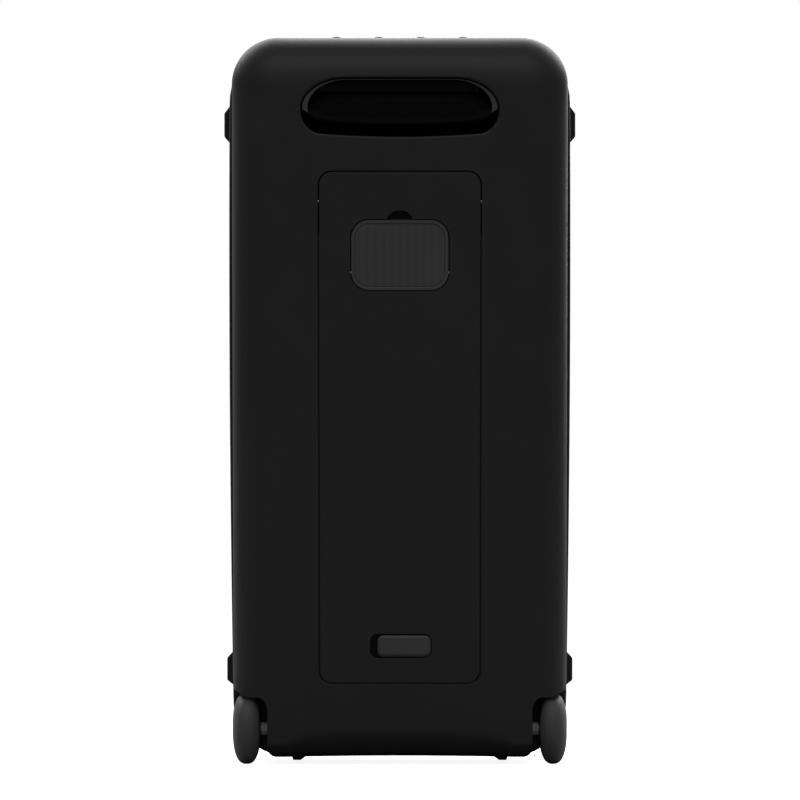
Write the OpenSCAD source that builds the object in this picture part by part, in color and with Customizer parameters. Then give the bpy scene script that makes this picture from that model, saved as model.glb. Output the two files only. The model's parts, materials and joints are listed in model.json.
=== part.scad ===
// Wheeled party speaker: two woofers, two tweeters, battery bay behind a hatch, controls on top.
// Row frame: +Z up, front towards -Y, back towards +Y, origin on the floor under the box's centre.

/* [Cabinet] */
// Width of the rear shell
shell_w = 343; // [320:1:420]
// Height of the cabinet's top above the floor
top_z = 740; // [720:1:900]
// Depth from the front rim to the flat of the back
body_d = 354.3; // [330:0.1:440]
// Height of the underside above the floor
floor_gap = 7; // [5:0.5:10]
// Wall of the rear shell
shell_wall = 4; // [3:0.5:6]
// Depth of the rear shell
shell_d = 231; // [220:1:260]
// Corner radius of the shell's top, seen from behind
top_corner_r = 48; // [30:1:60]
// Corner radius of the shell's bottom, seen from behind
low_corner_r = 12; // [8:1:20]
// Rounding of the edge between the top and the back
top_back_r = 40; // [20:1:45]
// Rounding of the upright rear edges
side_back_r = 36; // [20:1:45]
// Rounding of the edge between the underside and the back
low_back_r = 27; // [15:1:35]

/* [Front frame] */
// How far each side of the front frame stands out past the shell
frame_rise = 4; // [2:0.5:5]
// Height at which the frame is widest
bow_z = 537; // [350:1:600]
// Radius of the bow of the frame's sides
bow_r = 26000; // [15000:100:60000]
// How far the frame's top lies under the shell's top
frame_drop = 1.5; // [0.5:0.5:3]
// Upper corner radius of the frame
frame_top_r = 62; // [50:1:70]
// Lower corner radius of the frame
frame_low_r = 59; // [45:1:65]
// Wall of the frame
frame_wall = 7; // [6:0.5:10]

/* [Drivers] */
// Radius of a woofer's flange
woofer_r = 105; // [95:1:105]
// Height of the lower woofer's axis
low_woofer_z = 227; // [225:1:235]
// Distance between the woofers' axes
woofer_pitch = 237; // [236:1:250]
// Width of the light ring around a woofer
ring_w = 8; // [5:0.5:9]
// Radius of a tweeter's waveguide
tweeter_r = 45; // [35:1:45]
// Height of the tweeters' axes
tweeter_z = 641; // [641:1:650]
// Distance of each tweeter from the middle
tweeter_x = 72; // [55:1:90]
// Bore radius of a bass port
port_r = 23; // [15:0.5:24]
// Length of a port tube behind the baffle
port_len = 120; // [80:1:140]
// Free travel of a woofer cone each way
cone_travel = 4; // [2:0.5:5]

/* [Hatch and latch] */
// Half the width of the hatch
hatch_half = 82.8; // [70:0.1:90]
// Lower edge of the hatch
hatch_z0 = 82.8; // [80:0.1:95]
// Upper edge of the hatch
hatch_z1 = 603; // [595:0.5:610]
// Corner radius of the hatch
hatch_r = 13.3; // [8:0.1:16]
// Width of the groove around the hatch
hatch_gap = 1.2; // [0.9:0.1:2]
// Thickness of the hatch
hatch_t = 3; // [2.5:0.1:3.5]
// Travel of the latch slider
latch_travel = 7.4; // [4:0.1:7.6]

/* [Socket flap] */
// Half the width of the flap
flap_half = 50; // [40:0.5:55]
// Lower edge of the flap
flap_z0 = 482.5; // [480:0.5:490]
// Upper edge of the flap
flap_z1 = 553.9; // [545:0.1:556]
// Corner radius of the flap
flap_r = 18; // [8:0.5:20]
// Number of ribs on the flap
flap_ribs = 10; // [4:1:14]

/* [Wheels and feet] */
// Radius of a wheel
wheel_r = 36.2; // [30:0.1:42]
// Width of a wheel
wheel_w = 28.8; // [22:0.1:32]
// How far a wheel stands out behind the back
wheel_out = 11.7; // [5:0.1:16]
// Distance from a wheel's middle to the shell's side
wheel_inset = 15.5; // [14.5:0.5:17]
// Radius of an axle
axle_r = 4; // [3:0.5:6]
// Distance of a front foot's middle from the cabinet's middle
foot_x = 102; // [80:1:110]

/* [Handle] */
// Width of the handle's mouth
grip_w = 202; // [150:1:210]
// Lower edge of the handle's mouth
grip_z0 = 639; // [630:1:650]
// Upper edge of the handle's mouth
grip_z1 = 699; // [690:1:702]
// Depth of the hand pocket
grip_d = 62; // [45:1:66]
// Thickness of the grip liner
liner_t = 5; // [3:0.5:6]

/* [Controls] */
// Depth of the control well under the top
well_d = 15; // [12:0.5:16]
// Flat top left beside the control well
well_margin = 8.5; // [8.5:0.5:14]
// Distance between the small knobs
knob_pitch = 43; // [30:0.5:45]
// Diameter of a small knob
knob_d = 14; // [10:0.5:20]
// How far the small knobs stand above the cabinet's top
knob_rise = 3.4; // [0.5:0.1:6]
// Diameter of the volume knob
volume_d = 56; // [40:1:60]
// Diameter of a push button
button_d = 17; // [12:0.5:22]
// Travel of a push button
button_travel = 1.5; // [0.5:0.1:2]

/* [Hidden] */
$fn = 48;

// Clearances
slip = 0.3;        // round a piece that moves or drops in
run = 0.05;        // radial, round a shaft that turns
snug = 0.02;       // radial, round a pin that is held
past = 1;          // how far a cut runs past a face
arc_steps = 6;     // straight steps in a quarter turn
bow_steps = 8;     // straight steps up a bowed side

// Planes along Y
y_front = -(body_d + wheel_out) / 2;
y_rear = y_front + body_d;
y_split = y_rear - shell_d;
y_inner = y_rear - shell_wall;
axle_y = y_rear + wheel_out - wheel_r;
axle_z = wheel_r;

// Shell
shell_half = shell_w / 2;
frame_half = shell_half + frame_rise;
wheel_x = shell_half - wheel_inset;
wheel_gap = 3.8;
well_x = wheel_x - wheel_w / 2 - 6.6;
well_r = wheel_r + wheel_gap;
well_wall = 3.5;
axle_boss_r = 10;
axle_boss_d = 20;

// Front frame, baffle and grille
frame_z0 = floor_gap + 1;
frame_z1 = top_z - frame_drop;
baffle_t = 12;
grille_t = 1.5;
grille_y = y_front + 1.5;
baffle_y = grille_y + 18.5;
ledge_w = 8;
ledge_t = 5;
driver_depth = baffle_y - grille_y;

// Woofer, measured from the baffle's front face, forwards positive
flange_t = 4;
cutout_r = woofer_r - 10.2;
lip_in = woofer_r - 13.5;
cone_r = woofer_r - 21;
roll_r = (woofer_r - 12 - cone_r + 1) / 2;
roll_mid = cone_r - 1 + roll_r;
roll_t = 1;
coil_r = 25.8;
coil_t = 0.6;
basket_d = 66;
back_r = 56;
motor_r = 55;
motor_t = 26;
yoke_t = 5;
coil_gap = 0.5;
coil_in = motor_t - 2 * cone_travel - 4;
cap_r = 38;
cap_h = 14;
ring_r = woofer_r + 1 + ring_w;
upper_woofer_z = low_woofer_z + woofer_pitch;

// Tweeters and ports
throat_r = 14;
neck_r = 20;
dome_r = 12.7;
tweeter_motor_r = 32;
tweeter_motor_d = 26;
port_z = 68;
port_x = 92;
port_t = 2;
flare_w = 4;

// Hatch
hatch_axis_y = y_rear - 7;
hatch_axis_z = hatch_z1 - 30;
hatch_y = y_rear - hatch_t;
hatch_pin_r = 2;
hatch_block = 6;
bay_floor_y = 103;
bay_wall = 3;
bay_half = hatch_half - 3.3;
bay_top_half = hatch_half + 2.5;
bay_step_z = hatch_axis_z - 33;
bay_z0 = hatch_z0 + 3.2;
bay_z1 = hatch_z1 + 4;
bay_flange = 10;
shelf_z = 455;

// Flap
flap_gap = 1;
flap_t = 3;
flap_set = 0.5;
flap_axis_y = y_rear - 4;
flap_axis_z = flap_z0 + flap_r;
flap_pin_r = 1.5;
flap_block = 3.5;
notch_r = 14.6;
notch_z = flap_z1 - 4.5;
notch_d = 5;

// Latch: the slot, the slider in it and its stem
slot_x0 = -32.3;
slot_x1 = 30.4;
slot_z0 = 108.1;
slot_z1 = 132.6;
slot_r = 8;
slot_d = 5;
slot_floor = 2;
slider_w = 54.5;
slider_x0 = slot_x0 + 0.5;
slider_x1 = slider_x0 + slider_w;
slider_side = 1.2;
slider_r = 6.3;
stem_x = 18;
stem_z = 8;
latch_z = (slot_z0 + slot_z1) / 2;
slider_mid = (slider_x0 + slider_x1) / 2;

// Battery and sockets
battery_half = bay_half - 9.5;
battery_h = 344;
battery_d = 46;
panel_y = 131;
panel_t = 3;
panel_half = 60;
panel_z0 = flap_z0 - 4.5;
panel_z1 = flap_z1 + 4.1;

// Handle
cup_wall = 3;
cup_rise = 22;
grip_top_r = 0.6 * (grip_z1 - grip_z0);
grip_low_r = 0.38 * (grip_z1 - grip_z0);
grip_y = y_inner - grip_d;
lip_back = 17;

// Control well
well_t = 3;
well_y0 = -45;
well_y1 = 95;
well_r2 = 15;
well_w = shell_w - 2 * (top_corner_r + well_margin);
well_z = top_z - well_d;
knob_y = 60;
knob_lift = 0.5;
volume_h = 13;
control_y = 0;
shaft_r = 3;
pot_r = 8;
pot_h = 10;
board_t = 2;
board_z = well_z - well_t - 20;
button_rise = 3;
button_x = [52, 92];
jack_x = well_w / 2 - 15;
jack_bore = 3.2;
jack_r = 8;
jack_depth = 30;

// Wheel profile: a squared-off oval
wheel_power = 2.55;
hub_r = 22;
head_r = 8;
head_t = 3;
web_w = 16.4;
spacer_r = 6.65;

// Side bumpers: each is [lower edge, upper edge, flat's lower edge, flat's upper edge, rise]
upper_bumper = [634, 674.7, 641.6, 665.6, 5.3];
lower_bumper = [77, 113.7, 83, 105.6, 5.8];
bumper_y0 = y_front + 33;
bumper_y1 = bumper_y0 + 58;
bumper_sink = 1.5;

// Helpers ------------------------------------------------------------------------------

// Points of an arc
function arc(cx, cy, r, from, to, steps = arc_steps) = [
    for (i = [0:steps])
        let (a = from + (to - from) * i / steps)
            [cx + r * cos(a), cy + r * sin(a)]
];

// A rectangle with one corner radius below and another above
function rounded_rect(x0, x1, y0, y1, low_r, high_r) = concat(
    arc(x1 - high_r, y1 - high_r, high_r, 0, 90),
    arc(x0 + high_r, y1 - high_r, high_r, 90, 180),
    arc(x0 + low_r, y0 + low_r, low_r, 180, 270),
    arc(x1 - low_r, y0 + low_r, low_r, 270, 360)
);

// Half the width of the front frame at a height
function frame_side(z) = frame_half - pow(z - bow_z, 2) / (2 * bow_r);

// Right-hand half of the front frame's outline, from the bottom up
function frame_right(inset) =
    let (
        low = frame_z0 + frame_low_r,
        high = frame_z1 - frame_top_r
    )
    concat(
        arc(frame_side(low) - frame_low_r, low, frame_low_r - inset, -90, 0),
        [for (i = [1:bow_steps - 1])
            let (z = low + (high - low) * i / bow_steps)
                [frame_side(z) - inset, z]],
        arc(frame_side(high) - frame_top_r, high, frame_top_r - inset, 0, 90)
    );

// Whole outline of the front frame, moved inwards by inset
function frame_outline(inset) =
    let (right = frame_right(inset))
    concat(right, [for (i = [len(right) - 1:-1:0]) [-right[i][0], right[i][1]]]);

// Half-width of a wheel at a radius
function wheel_side(r) =
    wheel_w / 2 * pow(1 - pow(r / wheel_r, wheel_power), 1 / wheel_power);

// Extrudes an outline drawn in X and Z from y0 to y1
module across_y(y0, y1) {
    translate([0, y1, 0])
        rotate([90, 0, 0])
            linear_extrude(height = y1 - y0)
                children();
}

// Extrudes an outline drawn in Y and Z from x0 to x1
module across_x(x0, x1) {
    translate([x0, 0, 0])
        rotate([90, 0, 90])
            linear_extrude(height = x1 - x0)
                children();
}

// A box from one corner to the opposite one
module box(low, high) {
    translate(low)
        cube(high - low);
}

// A cylinder along X from x0 to x1
module rod_x(r, x0, x1, y, z) {
    translate([x0, y, z])
        rotate([0, 90, 0])
            cylinder(r = r, h = x1 - x0);
}

// A cylinder along Y from y0 to y1
module rod_y(r, y0, y1, x, z) {
    translate([x, y1, z])
        rotate([90, 0, 0])
            cylinder(r = r, h = y1 - y0);
}

// Stands a turned shape on the baffle's front face, its axis pointing forwards
module on_baffle(x, z) {
    translate([x, baffle_y, z])
        rotate([90, 0, 0])
            children();
}

// Both sides of the cabinet
module both_sides() {
    for (side = [0, 1])
        mirror([side, 0, 0])
            children();
}

// Outline of the handle's mouth, made wider and lower by the two numbers
module grip_outline(wider = 0, lower = 0) {
    polygon(rounded_rect(-grip_w / 2 - wider, grip_w / 2 + wider, grip_z0 - lower, grip_z1 - lower,
        grip_low_r, grip_top_r));
}

// Outline of the hatch, grown by a gap
module hatch_outline(grow) {
    polygon(rounded_rect(-hatch_half - grow, hatch_half + grow, hatch_z0 - grow, hatch_z1 + grow,
        hatch_r + grow, hatch_r + grow));
}

// Outline of the flap, grown by a gap
module flap_outline(grow) {
    polygon(rounded_rect(-flap_half - grow, flap_half + grow, flap_z0 - grow, flap_z1 + grow,
        flap_r + grow, flap_r + grow));
}

// Cabinet ------------------------------------------------------------------------------

// The rear shell's rounded block, with every face moved inwards by inset
module shell_block(inset) {
    front = y_split - (inset > 0 ? past : 0);
    back = y_rear - inset;
    low = floor_gap + inset;
    high = top_z - inset;
    half = shell_half - inset;
    side_r = side_back_r - inset;
    intersection() {
        across_y(front, back)
            polygon(rounded_rect(-half, half, low, high, low_corner_r - inset, top_corner_r - inset));
        translate([0, 0, low])
            linear_extrude(height = high - low)
                polygon(concat(
                    [[-half, front], [half, front]],
                    arc(half - side_r, back - side_r, side_r, 0, 90),
                    arc(side_r - half, back - side_r, side_r, 90, 180)
                ));
        across_x(-half, half)
            polygon(concat(
                [[front, high], [front, low]],
                arc(back - low_back_r + inset, low + low_back_r - inset, low_back_r - inset, 270, 360),
                arc(back - top_back_r + inset, high - top_back_r + inset, top_back_r - inset, 0, 90)
            ));
    }
}

// Round housing of one wheel, inside the shell
module wheel_well() {
    rod_x(well_r + well_wall, well_x - well_wall, shell_half - past, axle_y, axle_z);
    rod_x(axle_boss_r, well_x - well_wall - axle_boss_d, well_x, axle_y, axle_z);
}

module rear_shell() {
    color([0.11, 0.11, 0.11])
    difference() {
        shell_block(0);
        difference() {
            shell_block(shell_wall);
            both_sides()
                wheel_well();
        }
        both_sides()
            rod_x(well_r, well_x, shell_half + past, axle_y, axle_z);
        both_sides()
            rod_x(axle_r + snug, well_x - well_wall - axle_boss_d - past, well_x + past, axle_y, axle_z);
        across_y(y_inner - past, y_rear + past)
            hatch_outline(hatch_gap);
        across_y(y_inner - past, y_rear + past)
            grip_outline();
        translate([0, 0, top_z - shell_wall - past])
            linear_extrude(height = shell_wall + 2 * past)
                polygon(rounded_rect(-well_w / 2, well_w / 2, well_y0, well_y1, well_r2, well_r2));
    }
}

// One side bumper's outline, from the frame's side outwards
module bumper_outline(b) {
    side = frame_side((b[0] + b[1]) / 2);
    root = side - bumper_sink;
    polygon([[root, b[0]], [side + b[4], b[2]], [side + b[4], b[3]], [root, b[1]]]);
}

module bumper_pair(b) {
    both_sides()
        across_y(bumper_y0, bumper_y1)
            bumper_outline(b);
}

module front_frame() {
    color([0.07, 0.07, 0.07])
    difference() {
        across_y(y_front, y_split)
            polygon(frame_outline(0));
        across_y(y_front - past, baffle_y + baffle_t)
            polygon(frame_outline(frame_wall));
        across_y(baffle_y, y_split + past)
            polygon(frame_outline(frame_wall + ledge_w));
        across_y(baffle_y + baffle_t + ledge_t, y_split + past)
            polygon(frame_outline(frame_wall));
        bumper_pair(upper_bumper);
        bumper_pair(lower_bumper);
    }
}

module side_bumpers() {
    color([0.05, 0.05, 0.05]) {
        bumper_pair(upper_bumper);
        bumper_pair(lower_bumper);
    }
}

// Every opening that the drivers and ports need, with its own radius for each kind
module driver_cuts(woofer, tweeter, port, y0, y1) {
    for (z = [low_woofer_z, upper_woofer_z])
        rod_y(woofer, y0, y1, 0, z);
    for (x = [-tweeter_x, tweeter_x])
        rod_y(tweeter, y0, y1, x, tweeter_z);
    for (x = [-port_x, port_x])
        rod_y(port, y0, y1, x, port_z);
}

module baffle() {
    color([0.08, 0.08, 0.08])
    difference() {
        across_y(baffle_y, baffle_y + baffle_t)
            polygon(frame_outline(frame_wall + slip));
        driver_cuts(cutout_r, neck_r + slip, port_r + port_t + slip,
            baffle_y - past, baffle_y + baffle_t + past);
    }
}

module grille() {
    color([0.1, 0.1, 0.1]) {
        difference() {
            across_y(grille_y, grille_y + grille_t)
                polygon(frame_outline(frame_wall + slip));
            driver_cuts(ring_r + slip, tweeter_r + slip, port_r + flare_w + slip,
                grille_y - past, grille_y + grille_t + past);
        }
        // Posts that hold the plate off the baffle
        for (x = [-145, 145], z = [120, 345, 570])
            rod_y(4, grille_y + grille_t, baffle_y, x, z);
    }
}

module light_rings() {
    color([0.85, 0.85, 0.9])
    for (z = [low_woofer_z, upper_woofer_z])
        on_baffle(0, z)
            difference() {
                cylinder(r = ring_r, h = driver_depth);
                translate([0, 0, -past])
                    cylinder(r = ring_r - ring_w, h = driver_depth + 2 * past);
            }
}

// Drivers ------------------------------------------------------------------------------

module woofer_basket(z) {
    color([0.16, 0.16, 0.17])
    on_baffle(0, z)
        difference() {
            rotate_extrude()
                polygon([
                    [woofer_r, 0], [woofer_r, flange_t], [lip_in + 2.5, flange_t],
                    [lip_in + 2.5, 0.4], [lip_in, 0.4], [lip_in, -11],
                    [back_r - 3, 4 - basket_d], [30, 4 - basket_d], [30, -basket_d],
                    [back_r, -basket_d], [cutout_r - slip, -12], [cutout_r - slip, 0]
                ]);
            // Windows between the legs
            for (a = [0:60:300])
                rotate([0, 0, a])
                    translate([back_r - 2, -20, 9 - basket_d])
                        cube([60, 40, basket_d - 26]);
        }
}

module woofer_motor(z) {
    color([0.3, 0.3, 0.32])
    on_baffle(0, z)
        translate([0, 0, -basket_d])
            rotate_extrude()
                polygon([
                    [0, -motor_t - yoke_t], [motor_r - 3, -motor_t - yoke_t], [motor_r, -motor_t],
                    [motor_r, 0], [coil_r + coil_gap, 0], [coil_r + coil_gap, -motor_t],
                    [coil_r - coil_t - coil_gap, -motor_t], [coil_r - coil_t - coil_gap, 2], [0, 2]
                ]);
}

module woofer_cone(z) {
    neck_z = 36 - basket_d;
    cap_z = neck_z + (cap_r - coil_r) * (-neck_z - 1) / (cone_r - coil_r);
    color([0.09, 0.09, 0.1])
    on_baffle(0, z) {
        rotate_extrude()
            polygon([
                [coil_r - coil_t, -basket_d - coil_in], [coil_r, -basket_d - coil_in], [coil_r, neck_z],
                [cone_r, -1], [cone_r, 0.4], [coil_r - coil_t, neck_z + 1.6]
            ]);
        // Dust cap
        rotate_extrude()
            polygon(concat(
                [for (i = [0:8]) let (r = cap_r * i / 8)
                    [r, cap_z + 1 + cap_h * (1 - pow(r / cap_r, 2))]],
                [for (i = [8:-1:0]) let (r = cap_r * i / 8)
                    [r, cap_z - 0.3 + cap_h * (1 - pow(r / cap_r, 2))]]
            ));
    }
}

module woofer_surround(z) {
    color([0.05, 0.05, 0.05])
    on_baffle(0, z) {
        // Half roll between the cone and the basket's lip
        rotate_extrude()
            polygon(concat(
                arc(roll_mid, 0.5, roll_r, 0, 180, 10),
                arc(roll_mid, 0.5, roll_r - roll_t, 180, 0, 10)
            ));
        // Spider around the coil former
        translate([0, 0, 4.3 - basket_d])
            difference() {
                cylinder(r = back_r - 4, h = 1);
                translate([0, 0, -past])
                    cylinder(r = coil_r + 0.1, h = 1 + 2 * past);
            }
    }
}

module tweeter_waveguide(x) {
    color([0.12, 0.12, 0.13])
    on_baffle(x, tweeter_z)
        rotate_extrude()
            polygon([
                [throat_r, -baffle_t], [neck_r, -baffle_t], [neck_r, 0], [tweeter_r, 0],
                [tweeter_r, driver_depth], [tweeter_r - 3, driver_depth], [tweeter_r - 8, 12],
                [throat_r + 12, 6], [throat_r + 3, 2], [throat_r, -2]
            ]);
}

module tweeter_driver(x) {
    color([0.35, 0.35, 0.36])
    on_baffle(x, tweeter_z)
        rotate_extrude()
            polygon(concat(
                [[0, -baffle_t - tweeter_motor_d], [tweeter_motor_r, -baffle_t - tweeter_motor_d],
                    [tweeter_motor_r, -baffle_t], [throat_r - slip, -baffle_t],
                    [throat_r - slip, -4], [dome_r, -4]],
                [for (i = [0:6]) [dome_r * cos(15 * i), 5 * sin(15 * i) - 3.5]]
            ));
}

module port_tubes() {
    color([0.06, 0.06, 0.06])
    for (x = [-port_x, port_x])
        on_baffle(x, port_z)
            rotate_extrude()
                polygon([
                    [port_r, -port_len], [port_r + port_t, -port_len], [port_r + port_t, 0],
                    [port_r + flare_w, 0], [port_r + flare_w, driver_depth],
                    [port_r + flare_w - 1, driver_depth], [port_r + 1, 10], [port_r, 4]
                ]);
}

// Inside -------------------------------------------------------------------------------

brace_z = 345;
brace_t = 8;
lead_r = 2;
lead_x = 62;
lead_y = bay_floor_y - 51;

module cross_brace() {
    color([0.45, 0.35, 0.25])
    difference() {
        box([slip - shell_half + shell_wall, y_split + 4, brace_z - brace_t],
            [shell_half - shell_wall - slip, bay_floor_y, brace_z]);
        box([-130, y_split + 24, brace_z - brace_t - past], [-20, 20, brace_z + past]);
        box([20, y_split + 24, brace_z - brace_t - past], [130, 20, brace_z + past]);
        translate([lead_x, lead_y, brace_z - brace_t - past])
            cylinder(r = lead_r + slip, h = brace_t + 2 * past);
    }
}

board_x = 70;
amp_z0 = 170;
amp_z1 = 320;
amp_y = bay_floor_y - 5;

module amplifier_board() {
    color([0.05, 0.3, 0.15]) {
        box([-board_x, amp_y, amp_z0], [board_x, amp_y + board_t, amp_z1]);
        for (x = [-60, 60], z = [amp_z0 + 10, amp_z1 - 10])
            rod_y(3, amp_y + board_t, bay_floor_y, x, z);
        // Capacitors and a transformer
        for (x = [-50, -30])
            rod_y(8, amp_y - 28, amp_y, x, amp_z1 - 20);
        box([20, amp_y - 22, amp_z1 - 36], [55, amp_y, amp_z1 - 8]);
    }
}

module heat_sink() {
    sink_z1 = amp_z1 - 45;
    color([0.6, 0.6, 0.62])
    difference() {
        box([-60, amp_y - 36, amp_z0 + 8], [60, amp_y, sink_z1]);
        for (i = [0:9])
            box([-54 + i * 11.3, amp_y - 36 - past, amp_z0 + 8 - past],
                [-48 + i * 11.3, amp_y - 6, sink_z1 + past]);
    }
}

module power_supply() {
    color([0.55, 0.55, 0.57])
    difference() {
        box([-155, 24, brace_z], [-35, 96, brace_z + 40]);
        for (i = [0:6])
            box([-146 + i * 15, 30, brace_z + 36], [-138 + i * 15, 90, brace_z + 40 + past]);
    }
}

// Bundled leads between the amplifier and the two woofers
module wiring_loom() {
    color([0.6, 0.1, 0.1]) {
        translate([lead_x, lead_y, low_woofer_z])
            cylinder(r = lead_r, h = upper_woofer_z - low_woofer_z);
        for (z = [low_woofer_z, upper_woofer_z])
            rod_y(lead_r, baffle_y + basket_d + 4, lead_y + lead_r, lead_x, z);
        rod_y(lead_r, lead_y - lead_r, amp_y, lead_x, amp_z1 - 6);
    }
}

// Handle -------------------------------------------------------------------------------

module handle_cup() {
    half = grip_w / 2 + cup_wall;
    color([0.04, 0.04, 0.04])
    difference() {
        intersection() {
            shell_block(shell_wall);
            box([-half, grip_y - cup_wall, grip_z0 - cup_wall], [half, y_rear, grip_z1 + cup_rise]);
        }
        across_y(grip_y, y_rear)
            grip_outline();
        // Finger hollow behind the grip's lip
        box([20 - half, grip_y, grip_z1 - 20],
            [half - 20, y_inner - lip_back, grip_z1 + cup_rise - cup_wall - 2]);
    }
}

module grip_liner() {
    color([0.2, 0.2, 0.2])
    across_y(y_inner - lip_back, y_inner)
        difference() {
            grip_outline();
            grip_outline(1, liner_t);
        }
}

// Battery bay --------------------------------------------------------------------------

module battery_bay() {
    color([0.07, 0.07, 0.07]) {
        difference() {
            union() {
                box([-bay_half - bay_wall, bay_floor_y, bay_z0 - bay_wall],
                    [bay_half + bay_wall, y_inner, bay_step_z + bay_wall]);
                box([-bay_top_half - bay_wall, bay_floor_y, bay_step_z - bay_wall],
                    [bay_top_half + bay_wall, y_inner, bay_z1 + bay_wall]);
                // Flange that lies against the back wall
                box([-hatch_half - bay_flange, y_inner - bay_wall, hatch_z0 - bay_flange],
                    [hatch_half + bay_flange, y_inner, hatch_z1 + bay_flange]);
                both_sides()
                    box([bay_top_half, hatch_axis_y - hatch_block, hatch_axis_z - hatch_block],
                        [bay_top_half + bay_wall + 4, y_inner, hatch_axis_z + hatch_block]);
            }
            box([-bay_half, bay_floor_y + bay_wall, bay_z0], [bay_half, y_rear, bay_step_z + bay_wall]);
            box([-bay_top_half, bay_floor_y + bay_wall, bay_step_z], [bay_top_half, y_rear, bay_z1]);
            both_sides()
                rod_x(hatch_pin_r + run, bay_top_half - past, bay_top_half + bay_wall + 4 + past,
                    hatch_axis_y, hatch_axis_z);
        }
        // Shelf between the battery and the sockets
        box([-bay_half, bay_floor_y + bay_wall, shelf_z], [bay_half, y_inner - 20, shelf_z + bay_wall]);
    }
}

battery_y = bay_floor_y + bay_wall;

module battery_pack() {
    color([0.13, 0.13, 0.14]) {
        difference() {
            across_y(battery_y, battery_y + battery_d)
                polygon(rounded_rect(-battery_half, battery_half, bay_z0, bay_z0 + battery_h, 8, 8));
            // Finger grooves
            for (z = [bay_z0 + battery_h - 60, bay_z0 + battery_h - 45])
                box([-30, battery_y + battery_d - 2, z], [30, battery_y + battery_d + past, z + 6]);
        }
    }
}

module battery_contacts() {
    color([0.7, 0.6, 0.3])
    difference() {
        box([-25, battery_y, bay_z0 + battery_h], [25, battery_y + 20, bay_z0 + battery_h + 14]);
        for (i = [0:4])
            box([-21 + i * 9, battery_y + 12, bay_z0 + battery_h + 10],
                [-16 + i * 9, battery_y + 20 + past, bay_z0 + battery_h + 14 + past]);
    }
}

inlet_x = -30;
inlet_z = (flap_z0 + flap_z1) / 2;
inlet_w = 26;
inlet_h = 17;
usb_x = 8;
usb_w = 15;
usb_h = 8;
aux_x = 36;
aux_r = 5;
aux_bore = 1.8;

module socket_panel() {
    color([0.08, 0.08, 0.08])
    difference() {
        union() {
            box([-panel_half, panel_y - panel_t, panel_z0], [panel_half, panel_y, panel_z1]);
            for (x = [-panel_half + 6, panel_half - 6], z = [panel_z0 + 6, panel_z1 - 6])
                rod_y(4, battery_y, panel_y - panel_t, x, z);
        }
        box([inlet_x - inlet_w / 2, panel_y - panel_t - past, inlet_z - inlet_h / 2],
            [inlet_x + inlet_w / 2, panel_y + past, inlet_z + inlet_h / 2]);
        for (z = [inlet_z - 10, inlet_z + 10])
            box([usb_x - usb_w / 2, panel_y - panel_t - past, z - usb_h / 2],
                [usb_x + usb_w / 2, panel_y + past, z + usb_h / 2]);
        rod_y(aux_r, panel_y - panel_t - past, panel_y + past, aux_x, inlet_z);
    }
}

module mains_inlet() {
    color([0.03, 0.03, 0.03]) {
        difference() {
            union() {
                box([inlet_x - inlet_w / 2, panel_y - 22, inlet_z - inlet_h / 2],
                    [inlet_x + inlet_w / 2, panel_y, inlet_z + inlet_h / 2]);
                box([inlet_x - inlet_w / 2 - 3, panel_y, inlet_z - inlet_h / 2 - 3],
                    [inlet_x + inlet_w / 2 + 3, panel_y + 2, inlet_z + inlet_h / 2 + 3]);
            }
            box([inlet_x - inlet_w / 2 + 3, panel_y - 12, inlet_z - inlet_h / 2 + 3],
                [inlet_x + inlet_w / 2 - 3, panel_y + 2 + past, inlet_z + inlet_h / 2 - 3]);
        }
        // Contact pins
        for (x = [inlet_x - 4.3, inlet_x + 4.3])
            rod_y(1.2, panel_y - 12, panel_y - 2, x, inlet_z);
    }
}

module signal_sockets() {
    color([0.5, 0.5, 0.52]) {
        for (z = [inlet_z - 10, inlet_z + 10])
            difference() {
                box([usb_x - usb_w / 2, panel_y - 14, z - usb_h / 2],
                    [usb_x + usb_w / 2, panel_y + 0.5, z + usb_h / 2]);
                box([usb_x - usb_w / 2 + 1, panel_y - 12, z - usb_h / 2 + 3.5],
                    [usb_x + usb_w / 2 - 1, panel_y + 1 + past, z + usb_h / 2 - 1]);
            }
        difference() {
            rod_y(aux_r, panel_y - 16, panel_y + 1.5, aux_x, inlet_z);
            rod_y(aux_bore, panel_y - 15, panel_y + 1.5 + past, aux_x, inlet_z);
        }
    }
}

// Hatch, latch and flap ----------------------------------------------------------------

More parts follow.
